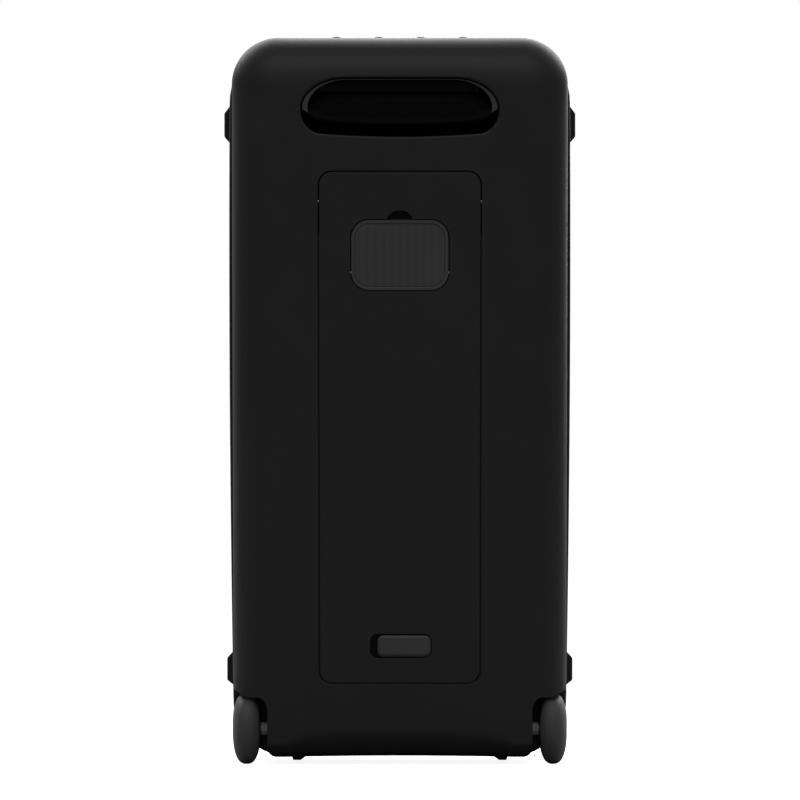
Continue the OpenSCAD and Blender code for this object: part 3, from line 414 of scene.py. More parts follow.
def piece(name, bm, finish, body, replaces=(), angle=32, bevel=0.0, bevel_steps=2):
    """Makes a shape a finished piece that rides on a body."""
    mesh = bpy.data.meshes.new(name)
    bm.to_mesh(mesh)
    bm.free()
    obj = bpy.data.objects.new(name, mesh)
    bpy.context.scene.collection.objects.link(obj)
    mesh.materials.append(finish)
    if bevel:
        round_off = obj.modifiers.new("rounded_edges", "BEVEL")
        round_off.width = bevel
        round_off.segments = bevel_steps
        round_off.limit_method = "ANGLE"
        round_off.angle_limit = math.radians(angle)
        round_off.use_clamp_overlap = False
        round_off.miter_outer = "MITER_ARC"
        split = obj.modifiers.new("split_faces", "TRIANGULATE")
        split.min_vertices = 5
    smooth_shaded(obj, angle)
    if replaces:
        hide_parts(*replaces)
    if body:
        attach(obj, body)
    return obj


BODY_OF = {node: body for body, nodes in FRAME["record"]["behaviour"]["bodies"].items()
           for node in nodes}


def copy_of(node):
    """A node's mesh with its corners joined and its flat faces whole."""
    bm = bmesh.new()
    bm.from_mesh(FRAME["nodes"][node].data)
    bmesh.ops.remove_doubles(bm, verts=bm.verts, dist=1e-5)
    bmesh.ops.dissolve_limit(bm, angle_limit=math.radians(0.4), verts=bm.verts, edges=bm.edges,
                             use_dissolve_boundaries=False)
    return bm


def refined(node, name, finish, edge=0.4 * MM, steps=2, angle=34):
    """A finished copy of a node, with its edges rounded."""
    return piece(name, copy_of(node), finish, BODY_OF[node], (node,),
                 angle=angle, bevel=edge, bevel_steps=steps)


# Node groups and finishes ------------------------------------------------------------

def group(name, inputs, outputs):
    """A shader node group with named sockets, and its input and output nodes."""
    tree = bpy.data.node_groups.new(name, "ShaderNodeTree")
    for label, kind, value in inputs:
        socket = tree.interface.new_socket(label, in_out="INPUT", socket_type=kind)
        if value is not None:
            socket.default_value = value
    for label, kind in outputs:
        tree.interface.new_socket(label, in_out="OUTPUT", socket_type=kind)
    return tree, tree.nodes.new("NodeGroupInput"), tree.nodes.new("NodeGroupOutput")


def made(tree, kind, **settings):
    """A node in a tree, with its settings or its input values."""
    node = tree.nodes.new(kind)
    for key, value in settings.items():
        if key.startswith("in_"):
            node.inputs[key[3:].replace("_", " ")].default_value = value
        else:
            setattr(node, key, value)
    return node


def sums(tree, operation, first, second=None, clamp=False):
    """A Math node on two values or sockets."""
    node = tree.nodes.new("ShaderNodeMath")
    node.operation = operation
    node.use_clamp = clamp
    for i, value in enumerate((first, second)):
        if value is None:
            continue
        if isinstance(value, (int, float)):
            node.inputs[i].default_value = value
        else:
            tree.links.new(value, node.inputs[i])
    return node.outputs[0]


def ramp(tree, value, low, high):
    """0 below low, 1 above high."""
    node = made(tree, "ShaderNodeMapRange", interpolation_type="SMOOTHSTEP")
    tree.links.new(value, node.inputs["Value"])
    node.inputs["From Min"].default_value = low
    node.inputs["From Max"].default_value = high
    return node.outputs["Result"]


def grain_group():
    """Fine moulded or sprayed grain over softly rounded edges: puts out a normal."""
    tree, given, out = group("Moulded grain", [
        ("Scale", "NodeSocketFloat", 1400.0), ("Depth", "NodeSocketFloat", 0.2),
        ("Softness", "NodeSocketFloat", 0.0006)], [("Normal", "NodeSocketVector"),
                                                   ("Pits", "NodeSocketFloat")])
    place = tree.nodes.new("ShaderNodeTexCoord")
    fine = made(tree, "ShaderNodeTexNoise", in_Detail=3.0, in_Roughness=0.6)
    cells = made(tree, "ShaderNodeTexVoronoi", feature="SMOOTH_F1")
    for texture in (fine, cells):
        tree.links.new(place.outputs["Object"], texture.inputs["Vector"])
    tree.links.new(given.outputs["Scale"], fine.inputs["Scale"])
    tree.links.new(sums(tree, "MULTIPLY", given.outputs["Scale"], 0.7), cells.inputs["Scale"])
    height = sums(tree, "ADD", sums(tree, "MULTIPLY", fine.outputs[0], 0.6),
                  sums(tree, "MULTIPLY", cells.outputs["Distance"], 0.5))
    bevel = made(tree, "ShaderNodeBevel", samples=4)
    tree.links.new(given.outputs["Softness"], bevel.inputs["Radius"])
    bump = made(tree, "ShaderNodeBump", in_Distance=0.0002)
    tree.links.new(given.outputs["Depth"], bump.inputs["Strength"])
    tree.links.new(height, bump.inputs["Height"])
    tree.links.new(bevel.outputs["Normal"], bump.inputs["Normal"])
    tree.links.new(bump.outputs["Normal"], out.inputs["Normal"])
    tree.links.new(height, out.inputs["Pits"])
    return tree


def wear_and_highlight_group():
    """A mask of edges where the colour is lightened, broken up by noise: partly edges scuffed by handling, partly a
    painted highlight along edges.
    """
    tree, given, out = group("Edge scuffs and highlight", [
        ("Width", "NodeSocketFloat", 0.0012), ("Amount", "NodeSocketFloat", 0.5)],
        [("Mask", "NodeSocketFloat")])
    place = tree.nodes.new("ShaderNodeTexCoord")
    surface = tree.nodes.new("ShaderNodeNewGeometry")
    bevel = made(tree, "ShaderNodeBevel", samples=4)
    tree.links.new(given.outputs["Width"], bevel.inputs["Radius"])
    turn = made(tree, "ShaderNodeVectorMath", operation="DOT_PRODUCT")
    tree.links.new(bevel.outputs["Normal"], turn.inputs[0])
    tree.links.new(surface.outputs["Normal"], turn.inputs[1])
    bent = ramp(tree, sums(tree, "SUBTRACT", 1.0, turn.outputs["Value"]), 0.01, 0.22)
    breaks = made(tree, "ShaderNodeTexNoise", in_Scale=160.0, in_Detail=4.0)
    tree.links.new(place.outputs["Object"], breaks.inputs["Vector"])
    patchy = ramp(tree, breaks.outputs[0], 0.35, 0.68)
    mask = sums(tree, "MULTIPLY", sums(tree, "MULTIPLY", bent, patchy), given.outputs["Amount"], True)
    tree.links.new(mask, out.inputs["Mask"])
    return tree


def dust_group():
    """A mask of settled dust and handling marks: soft clouds, thicker on faces that look up."""
    tree, given, out = group("Dust", [
        ("Scale", "NodeSocketFloat", 14.0), ("Amount", "NodeSocketFloat", 0.3)],
        [("Mask", "NodeSocketFloat"), ("Clouds", "NodeSocketFloat")])
    place = tree.nodes.new("ShaderNodeTexCoord")
    surface = tree.nodes.new("ShaderNodeNewGeometry")
    clouds = made(tree, "ShaderNodeTexNoise", in_Detail=5.0, in_Roughness=0.62)
    tree.links.new(place.outputs["Object"], clouds.inputs["Vector"])
    tree.links.new(given.outputs["Scale"], clouds.inputs["Scale"])
    facing = tree.nodes.new("ShaderNodeSeparateXYZ")
    tree.links.new(surface.outputs["Normal"], facing.inputs[0])
    upward = ramp(tree, facing.outputs["Z"], 0.3, 1.0)
    cloud = ramp(tree, clouds.outputs[0], 0.32, 0.72)
    share = sums(tree, "ADD", sums(tree, "MULTIPLY", upward, 0.7), 0.3)
    mask = sums(tree, "MULTIPLY", sums(tree, "MULTIPLY", cloud, share), given.outputs["Amount"], True)
    tree.links.new(mask, out.inputs["Mask"])
    tree.links.new(cloud, out.inputs["Clouds"])
    return tree


GROUPS = {}
FINISHES = {}


def effect(tree, name, **values):
    """One of the shared effects, placed in a material with its own values."""
    if name not in GROUPS:
        GROUPS[name] = {"Moulded grain": grain_group, "Edge scuffs and highlight": wear_and_highlight_group,
                        "Dust": dust_group}[name]()
    node = tree.nodes.new("ShaderNodeGroup")
    node.node_tree = GROUPS[name]
    for label, value in values.items():
        node.inputs[label].default_value = value
    return node


def mixed(tree, mask, first, second, blend="MIX"):
    """A colour between two others, by a mask."""
    node = made(tree, "ShaderNodeMix", data_type="RGBA", blend_type=blend)
    factor, a, b = node.inputs[0], node.inputs[6], node.inputs[7]
    for socket, value in ((factor, mask), (a, first), (b, second)):
        if isinstance(value, (tuple, list)):
            socket.default_value = (*value, 1.0)
        elif isinstance(value, (int, float)):
            socket.default_value = value
        else:
            tree.links.new(value, socket)
    return node.outputs[2]


def finish(name, colour, rough, spread=0.06, grain=1400.0, depth=0.2, soft=0.5 * MM,
           wear_and_highlight=0.25, worn_and_lit=None, dust=0.12, metal=0.0, coat=0.0, sheen=0.0, pattern=None,
           specular=0.5, subsurface=0.0, anisotropy=0.0):
    """A procedural finish with grain, cloudy roughness, dust and lightened edges that are partly scuffing and partly
    a painted highlight.
    """
    if name in FINISHES:
        return FINISHES[name]
    colour = tuple(colour)
    # The edge colour is lighter than the base: partly scuffed plastic, partly a painted highlight along edges.
    worn_and_lit = worn_and_lit or tuple(min(1.0, c * 2.2 + 0.01) for c in colour)
    material = bpy.data.materials.new(name)
    material.use_nodes = True
    tree = material.node_tree
    shader = tree.nodes["Principled BSDF"]
    moulded = effect(tree, "Moulded grain", Scale=grain, Depth=depth, Softness=soft)
    rubbed_and_lit = effect(tree, "Edge scuffs and highlight", Width=max(soft * 2, 0.4 * MM), Amount=wear_and_highlight)
    dusty = effect(tree, "Dust", Amount=dust)
    base = mixed(tree, dusty.outputs["Clouds"], tuple(c * 0.93 for c in colour),
                 tuple(min(1.0, c * 1.07) for c in colour))
    if pattern:
        base = pattern(tree, base, shader)
    # Painted highlight mixed with scuffing: edges take the lighter colour by the mask.
    base = mixed(tree, rubbed_and_lit.outputs["Mask"], base, worn_and_lit)
    settled = tuple(min(1.0, c * 1.4 + 0.012) for c in colour) if max(colour) < 0.3 else colour
    base = mixed(tree, dusty.outputs["Mask"], base, settled)
    tree.links.new(base, shader.inputs["Base Color"])
    pits = sums(tree, "MULTIPLY", sums(tree, "SUBTRACT", moulded.outputs["Pits"], 0.5), spread)
    cloudy = sums(tree, "MULTIPLY", dusty.outputs["Clouds"], spread)
    roughness = sums(tree, "ADD", sums(tree, "ADD", pits, cloudy), rough - spread / 2, True)
    tree.links.new(roughness, shader.inputs["Roughness"])
    tree.links.new(moulded.outputs["Normal"], shader.inputs["Normal"])
    shader.inputs["Metallic"].default_value = metal
    shader.inputs["Specular IOR Level"].default_value = specular
    shader.inputs["Coat Weight"].default_value = coat
    shader.inputs["Coat Roughness"].default_value = 0.08
    shader.inputs["Sheen Weight"].default_value = sheen
    shader.inputs["Subsurface Weight"].default_value = subsurface
    shader.inputs["Subsurface Radius"].default_value = (0.004, 0.004, 0.004)
    shader.inputs["Anisotropic"].default_value = anisotropy
    FINISHES[name] = material
    return material


def traces(tree, base, shader):
    """Copper runs under the solder resist."""
    place = tree.nodes.new("ShaderNodeTexCoord")
    runs = made(tree, "ShaderNodeTexBrick", offset=0.5, in_Scale=90.0, in_Mortar_Size=0.03)
    turned_up = made(tree, "ShaderNodeMapping")
    turned_up.inputs["Rotation"].default_value = (math.pi / 2, 0, 0)
    tree.links.new(place.outputs["Object"], turned_up.inputs["Vector"])
    tree.links.new(turned_up.outputs["Vector"], runs.inputs["Vector"])
    return mixed(tree, runs.outputs["Fac"], base, (0.05, 0.16, 0.06))


def pressed_fibre(tree, base, shader):
    """Long pale fibres pressed into the cone."""
    place = tree.nodes.new("ShaderNodeTexCoord")
    fibres = made(tree, "ShaderNodeTexNoise", in_Scale=420.0, in_Detail=6.0, in_Distortion=1.6)
    tree.links.new(place.outputs["Object"], fibres.inputs["Vector"])
    return mixed(tree, sums(tree, "MULTIPLY", ramp(tree, fibres.outputs[0], 0.55, 0.75), 0.35), base,
                 (0.09, 0.09, 0.09))


def board_chips(tree, base, shader):
    """Wood chips of the brace."""
    place = tree.nodes.new("ShaderNodeTexCoord")
    chips = made(tree, "ShaderNodeTexVoronoi", in_Scale=260.0)
    tree.links.new(place.outputs["Object"], chips.inputs["Vector"])
    return mixed(tree, 0.35, base, chips.outputs["Color"], "SOFT_LIGHT")


def brushed(tree, base, shader):
    """Fine turning marks in metal."""
    place = tree.nodes.new("ShaderNodeTexCoord")
    marks = made(tree, "ShaderNodeTexNoise", in_Scale=900.0, in_Detail=2.0)
    stretch = made(tree, "ShaderNodeMapping")
    stretch.inputs["Scale"].default_value = (0.04, 1.0, 1.0)
    tree.links.new(place.outputs["Object"], stretch.inputs["Vector"])
    tree.links.new(stretch.outputs["Vector"], marks.inputs["Vector"])
    return mixed(tree, sums(tree, "MULTIPLY", marks.outputs[0], 0.25), base, (0.12, 0.12, 0.12))


def look(kind):
    """The finish of one kind of piece."""
    c = bpy.context.scene.speaker_colours
    recipes = {
        "shell": lambda: finish("textured_shell", c.shell, 0.50, 0.05, 1100, 0.30, 0.5 * MM,
                                wear_and_highlight=0.12, dust=0.06),
        "hatch": lambda: finish("textured_hatch", c.shell, 0.50, 0.05, 1100, 0.30, 0.45 * MM,
                                wear_and_highlight=0.15, dust=0.05),
        "frame": lambda: finish("satin_frame", c.frame, 0.42, 0.06, 1500, 0.16, 0.6 * MM,
                                wear_and_highlight=0.18, dust=0.1),
        "flap": lambda: finish("satin_flap", c.flap, 0.46, 0.05, 1300, 0.18, 0.3 * MM,
                               wear_and_highlight=0.15, dust=0.05),
        "latch": lambda: finish("satin_latch", c.latch, 0.42, 0.05, 1300, 0.18, 0.3 * MM,
                                wear_and_highlight=0.3, dust=0.05),
        # Colour and specular turned down as painted shade in the hand pocket; also the finish of the painted shade on
        # the hatch's recess floors.
        "pocket": lambda: finish("glossy_pocket_painted_shade", c.pocket, 0.2, 0.04, 700, 0.03, 0.8 * MM,
                                 wear_and_highlight=0.05, dust=0.02, specular=0.16),
        "liner": lambda: finish("soft_liner", c.liner, 0.6, 0.08, 1200, 0.25, 0.4 * MM,
                                wear_and_highlight=0.1, dust=0.06),
        "spacer": lambda: finish("grey_nylon", (0.72, 0.72, 0.72), 0.45, 0.08, 1200, 0.15, 0.4 * MM,
                                 wear_and_highlight=0.1, dust=0.1),
        "rubber": lambda: finish("foot_rubber", c.rubber, 0.55, 0.1, 900, 0.35, 0.6 * MM,
                                 wear_and_highlight=0.2, dust=0.15, sheen=0.1),
        "tyre": lambda: finish("tyre_rubber", c.tyre, 0.5, 0.08, 800, 0.25, 0.4 * MM,
                               wear_and_highlight=0.1, dust=0.1, sheen=0.05),
        "hub": lambda: finish("hub_plastic", c.hub, 0.4, 0.06, 1200, 0.12, 0.4 * MM, dust=0.1),
        "grille": lambda: finish("powder_coat", c.grille, 0.48, 0.1, 1900, 0.4, 0.2 * MM,
                                 wear_and_highlight=0.1, dust=0.1, metal=0.0),
        "cone": lambda: finish("pressed_cone", c.cone, 0.62, 0.12, 500, 0.6, 0.3 * MM,
                               pattern=pressed_fibre),
        "surround": lambda: finish("foam_rubber", (0.018, 0.018, 0.019), 0.45, 0.08, 900, 0.15,
                                   0.4 * MM, dust=0.15),
        "diffuser": lambda: finish("milky_diffuser", (0.62, 0.64, 0.68), 0.34, 0.05, 900, 0.08,
                                   0.6 * MM, wear_and_highlight=0.0, dust=0.06, subsurface=0.6, coat=0.2),
        "panel": lambda: finish("bay_plastic", c.panel, 0.52, 0.06, 1200, 0.25, 0.4 * MM),
        "control": lambda: finish("control_panel", (0.012, 0.012, 0.0125), 0.3, 0.05, 1500, 0.06,
                                  0.5 * MM, wear_and_highlight=0.1, dust=0.1, coat=0.15),
        "knob": lambda: finish("soft_knob", c.knob, 0.44, 0.08, 1300, 0.18, 0.3 * MM, wear_and_highlight=0.35),
        "pointer": lambda: finish("pale_pointer", (0.55, 0.55, 0.56), 0.4, 0.05, 1300, 0.1,
                                  0.2 * MM, wear_and_highlight=0.2),
        "basket": lambda: finish("pressed_steel", (0.03, 0.03, 0.032), 0.38, 0.1, 700, 0.25,
                                 0.5 * MM, wear_and_highlight=0.3, worn_and_lit=(0.4, 0.4, 0.4)),
        "magnet": lambda: finish("ferrite", (0.035, 0.035, 0.037), 0.6, 0.15, 300, 0.3, 0.6 * MM),
        "steel": lambda: finish("plated_steel", (0.55, 0.55, 0.56), 0.3, 0.12, 900, 0.06,
                                0.2 * MM, wear_and_highlight=0.2, metal=1.0, pattern=brushed),
        "aluminium": lambda: finish("drawn_aluminium", (0.62, 0.63, 0.65), 0.36, 0.12, 700, 0.1,
                                    0.4 * MM, metal=1.0, pattern=brushed, anisotropy=0.3),
        "brass": lambda: finish("contact_brass", (0.72, 0.52, 0.22), 0.28, 0.1, 700, 0.06,
                                0.2 * MM, metal=1.0),
        "circuit": lambda: finish("solder_resist", c.circuit, 0.3, 0.08, 600, 0.1, 0.2 * MM,
                                  pattern=traces),
        "brace": lambda: finish("fibreboard", (0.30, 0.20, 0.12), 0.8, 0.1, 300, 0.5, 0.4 * MM,
                                wear_and_highlight=0.0, pattern=board_chips),
        "loom": lambda: finish("loom_sleeve", (0.30, 0.02, 0.02), 0.42, 0.08, 500, 0.1, 0.2 * MM),
        "battery": lambda: finish("battery_case", (0.09, 0.09, 0.094), 0.44, 0.06, 900, 0.2,
                                  0.5 * MM),
    }
    return recipes[kind]()


# Cabinet -----------------------------------------------------------------------------

def eased(value, low, high):
    """0 at low, 1 at high, smooth between."""
    t = min(1.0, max(0.0, (value - low) / (high - low)))
    return t * t * (3 - 2 * t)


def shell_block(s, inset, front):
    """The shell's rounded block with every face moved inwards, open to the front."""
    half, z0, z1, y1 = SHELL_HIGH.x - inset, SHELL_LOW.z + inset, TOP_Z - inset, BACK_Y - inset
    r_corner, r_side, r_top = s.corner - inset, s.side - inset, s.top - inset
    r_low, r_deep = s.low - inset, s.depth - inset
    r_foot = s.foot - inset
    steps = 9
    bends = [math.tan(math.pi / 4 * i / steps) for i in range(steps)]
    bm = block((-half, front, z0), (half, y1, z1))
    span = [120 * MM, 98 * MM, 80 * MM, 64 * MM]
    cuts = [("X", side * (half - r_corner + r_corner * b)) for b in bends for side in (-1, 1)]
    cuts += [("X", side * (half - d)) for d in span for side in (-1, 1)]
    cuts += [("Z", z1 - r_corner + r_corner * b) for b in bends] + [("Z", z1 - d) for d in span]
    cuts += [("Z", z0 + r_low - r_low * b) for b in bends]
    cuts += [("Z", z0 + d) for d in (40 * MM, 55 * MM, 72 * MM, 92 * MM, 120 * MM)]
    cuts += [("Y", y1 - r_deep + r_deep * b) for b in bends]
    cuts += [("Y", y * MM) for y in (117, 119, 121, 123, 125, 127, 129)]
    cuts += [("Z", z0 + r_foot - r_foot * b) for b in bends]
    cuts += [("X", side * (half - r_foot + r_foot * b)) for b in bends for side in (-1, 1)]
    cuts += [("Z", z0 + (z1 - z0) * i / 8) for i in range(2, 7)] + [("X", 0.0)]
    cuts += [("X", side * d) for d in (30 * MM,) for side in (-1, 1)]
    normals = {"X": (1, 0, 0), "Y": (0, 1, 0), "Z": (0, 0, 1)}
    kept = {"X": [], "Y": [], "Z": []}
    for axis, value in cuts:
        if any(abs(value - other) < 1.1 * MM for other in kept[axis]):
            continue
        kept[axis].append(value)
        bmesh.ops.bisect_plane(bm, geom=bm.verts[:] + bm.edges[:] + bm.faces[:],
                               plane_co=[value * n for n in normals[axis]],
                               plane_no=normals[axis], dist=1e-7)
    for v in bm.verts:
        x, y, z = v.co
        low_share = 1 - eased(z, z0 + 45 * MM, z0 + 130 * MM)
        high_share = eased(z, z1 - 120 * MM, z1 - 48 * MM)
        rx = r_side + (r_corner - r_side) * high_share
        rz = r_top + (r_corner - r_top) * eased(abs(x), half - 120 * MM, half - 48 * MM)
        ry = r_deep + (r_low - r_deep) * (1 - eased(z, z0 + 25 * MM, z0 + 120 * MM))
        if z < (z0 + z1) / 2:
            forward = 1 - eased(y, 119 * MM, 127 * MM)
            foot = (14 * MM - inset) + (r_foot - 14 * MM + inset) * forward
            rx = rx * (1 - low_share) + foot * low_share
            rz = r_low + (foot - r_low) * eased(abs(x), half - 75 * MM, half - 57 * MM)
        core = Vector((min(max(x, rx - half), half - rx), min(y, y1 - ry),
                       min(max(z, z0 + rz), z1 - rz)))
        u = Vector(((x - core.x) / rx, (y - core.y) / ry, (z - core.z) / rz))
        if u.length > 1e-6:
            u.normalize()
        v.co = core + Vector((u.x * rx, u.y * ry, u.z * rz))
        drop = (z1 - v.co.z) / (z1 - z0)
        v.co.x *= 1 - s.taper * drop / half
        v.co.z += s.arch * (1 - min(1.0, (v.co.x / (115 * MM)) ** 2)) * (1 - eased(z, z0, z0 + 60 * MM))
    bmesh.ops.recalc_face_normals(bm, faces=bm.faces)
    return bm


def oval_arc(cx, cz, wide, high, start, end, steps=14):
    """Points of an arc of an oval, with angles in degrees."""
    return [(cx + (x - cx) * wide, cz + (z - cz) * high) for x, z in arc(cx, cz, 1.0, start, end, steps)]


def mouth(h):
    """The outline of the hand pocket's mouth, by how far it is grown."""
    def outline(grow=0.0):
        x, z0, z1 = h.half + grow, h.low - grow + h.sag, h.high + grow
        up, up_high = h.upper_corner + grow, h.upper_rise + grow
        low, low_high = h.lower_corner + grow, h.lower_rise + grow
        bow = [(-x + low) * (1 - i / 6) for i in range(1, 12)]
        points = oval_arc(x - up, z1 - up_high, up, up_high, 0, 90)
        points += oval_arc(up - x, z1 - up_high, up, up_high, 90, 180)
        points += oval_arc(low - x, z0 + low_high, low, low_high, 180, 270)
        points += [(px, z0 - h.sag * (1 - (px / (x - low)) ** 2)) for px in bow]
        return points + oval_arc(x - low, z0 + low_high, low, low_high, 270, 360)
    return outline


def hatch_outline(sizes):
    """The hatch's outline, by how far it is grown."""
    def outline(grow=0.0):
        points = rounded_rect(HATCH_X0, -HATCH_X0, HATCH_Z0, HATCH_Z1, sizes.corner, sizes.corner, grow)
        drawn = [(sizes.taper * (HATCH_Z1 - z) / (HATCH_Z1 - HATCH_Z0) + 0.4 * MM) / -HATCH_X0
                 for _, z in points]
        return [(x * (1 - share), z) for (x, z), share in zip(points, drawn)]
    return outline


HATCH_X0, HATCH_Z0, HATCH_Z1 = -82.8 * MM, HATCH_LOW.z, HATCH_HIGH.z
FLAP_X0, FLAP_Z0, FLAP_Z1 = FLAP_LOW.x + 0.5 * MM, FLAP_LOW.z, FLAP_HIGH.z


def well_cutter(w):
    """The room round one wheel, rounded inside."""
    radius = TYRE_HIGH.z - AXLE.z + w.gap
    far = SHELL_HIGH.x + 10 * MM
    profile = [(0, w.inner)] + [(radius - w.fillet + w.fillet * math.sin(a),
                                 w.inner + w.fillet * (1 - math.cos(a)))
                                for a in [math.pi / 2 * i / 6 for i in range(7)]]
    profile += [(radius, far), (0, far)]
    return turned(profile, (0, AXLE.y, AXLE.z), "X", 72)


class SPEAKER_OT_rear_shell(bpy.types.Operator):
    """Rear shell with its rounded edges, wheel wells and openings"""
    bl_idname = "speaker.rear_shell"
    bl_label = "Rear shell"

    def execute(self, context):
        scene = context.scene
        s, h, w, t = (scene.speaker_shell, scene.speaker_handle, scene.speaker_wheels,
                      scene.speaker_hatch)
        outer = shell_block(s, 0.0, SHELL_LOW.y)
        inner = shell_block(s, s.wall, SHELL_LOW.y - 2 * MM)
        room, wall, far = TYRE_HIGH.z - AXLE.z + w.gap + 0.05 * MM, 3.5 * MM, SHELL_HIGH.x + 2 * MM
        boss, boss_end, bore = 10 * MM, w.inner - wall - 20 * MM, 4.1 * MM
        bend = [math.pi / 2 * i / 6 for i in range(7)]
        profile = [(bore, boss_end), (boss, boss_end), (boss, w.inner - wall)]
        profile += [(room + wall - w.fillet + w.fillet * math.sin(a),
                     w.inner - wall + w.fillet * (1 - math.cos(a))) for a in bend]
        profile += [(room + wall, far), (room, far)]
        profile += [(room - w.fillet + w.fillet * math.sin(a), w.inner + w.fillet * (1 - math.cos(a)))
                    for a in reversed(bend)]
        profile.append((bore, w.inner))
        cutter = well_cutter(w)
        hatch = hatch_outline(t)
        turn, under = 10 * MM, SHELL_LOW.z - 0.1 * MM
        edge = arc(w.inner - turn, under + turn, turn, -90, 0, 8)
        edge += [(w.inner + 2 * MM, under + turn), (w.inner + 2 * MM, under - 3 * MM),
                 (w.inner - turn, under - 3 * MM)]
        foot_round = lofted([at_y(edge, AXLE.y - 38 * MM), at_y(edge, BACK_Y + 5 * MM)])
        housing = carved(turned(profile, (0, AXLE.y, AXLE.z), "X", 72),
                         shell_block(s, 1 * MM, SHELL_LOW.y), operation="INTERSECT")
        housing = carved(housing, foot_round.copy())
        well = (WELL_HIGH.x - 8 * MM)
        mid = [WELL_LOW.y + 8 * MM, WELL_HIGH.y - 8 * MM]

        def well_line(grow):
            return rounded_rect(-well, well, mid[0], mid[1], 15 * MM, 15 * MM, grow)
        well_hole = lofted([at_z(well_line(0.0), TOP_Z - 8 * MM), at_z(well_line(0.0), TOP_Z - 1 * MM),
                            at_z(well_line(0.3 * MM), TOP_Z - 0.4 * MM),
                            at_z(well_line(1.0 * MM), TOP_Z), at_z(well_line(1.0 * MM), TOP_Z + 2 * MM)])
        shell = carved(outer, inner)
        shell = carved(shell, mirrored(cutter), cutter, mirrored(foot_round), foot_round,
                       opening(lambda g: hatch(g + t.gap), BACK_Y - 8 * MM, BACK_Y, t.edge),
                       opening(mouth(h), BACK_Y - 8 * MM, BACK_Y, h.lip), well_hole)
        shell = joined(shell, mirrored(housing), housing)
        piece("moulded_rear_shell", shell, look("shell"), "cabinet", ("rear_shell",), angle=30)
        return {"FINISHED"}


FRAME_SIDE = 175.3 * MM


def frame_side(z):
    """Half the width of the front frame at a height."""
    return FRAME_SIDE - (z - 0.537) ** 2 / (2 * 26.0)


def frame_outline(inset=0.0, steps=12):
    """The front frame's outline, moved inwards."""
    top_r, low_r = 62 * MM, 59 * MM
    low, high = FRAME_LOW.z + low_r, FRAME_HIGH.z - top_r
    right = arc(frame_side(low) - low_r, low, low_r - inset, -90, 0, steps)
    right += [(frame_side(z) - inset, z) for z in [low + (high - low) * i / 16 for i in range(1, 16)]]
    right += arc(frame_side(high) - top_r, high, top_r - inset, 0, 90, steps)
    return right + [(-x, z) for x, z in reversed(right)]


class SPEAKER_OT_front_frame(bpy.types.Operator):
    """Front frame, side bumpers and front feet"""
    bl_idname = "speaker.front_frame"
    bl_label = "Front frame"

    def execute(self, context):
        s = context.scene.speaker_shell
        y0, y1 = FRAME_LOW.y, FRAME_HIGH.y
        outer = [at_y(frame_outline(inset), y0 + depth)
                 for inset, depth in edge_steps(s.front_round, 6)]
        outer += [at_y(frame_outline(0.0), y1 - 2.2 * MM), at_y(frame_outline(0.5 * MM), y1 - 0.9 * MM),
                  at_y(frame_outline(1.4 * MM), y1)]
        wall, ledge = 7 * MM, 8 * MM
        behind = BAFFLE_HIGH.y
        cut_front = lofted([at_y(frame_outline(wall - 1 * MM), y0 - 1 * MM),
                            at_y(frame_outline(wall - 1 * MM), y0),
                            at_y(frame_outline(wall - 0.3 * MM), y0 + 0.4 * MM),
                            at_y(frame_outline(wall), y0 + 1 * MM), at_y(frame_outline(wall), behind)])
        cut_mid = lofted([at_y(frame_outline(wall + ledge), behind - 1 * MM),
                          at_y(frame_outline(wall + ledge), behind + 6 * MM)])
        cut_back = lofted([at_y(frame_outline(wall), behind + 5 * MM), at_y(frame_outline(wall), y1 + 1 * MM)])
        piece("bowed_front_frame", carved(lofted(outer), cut_front, cut_mid, cut_back), look("frame"),
              "cabinet", ("front_frame",), angle=30)
        refined("side_bumpers", "rubber_side_bumpers", look("rubber"), 1.2 * MM, 3)
        refined("front_feet", "rubber_front_feet", look("rubber"), 1.0 * MM, 3)
        return {"FINISHED"}


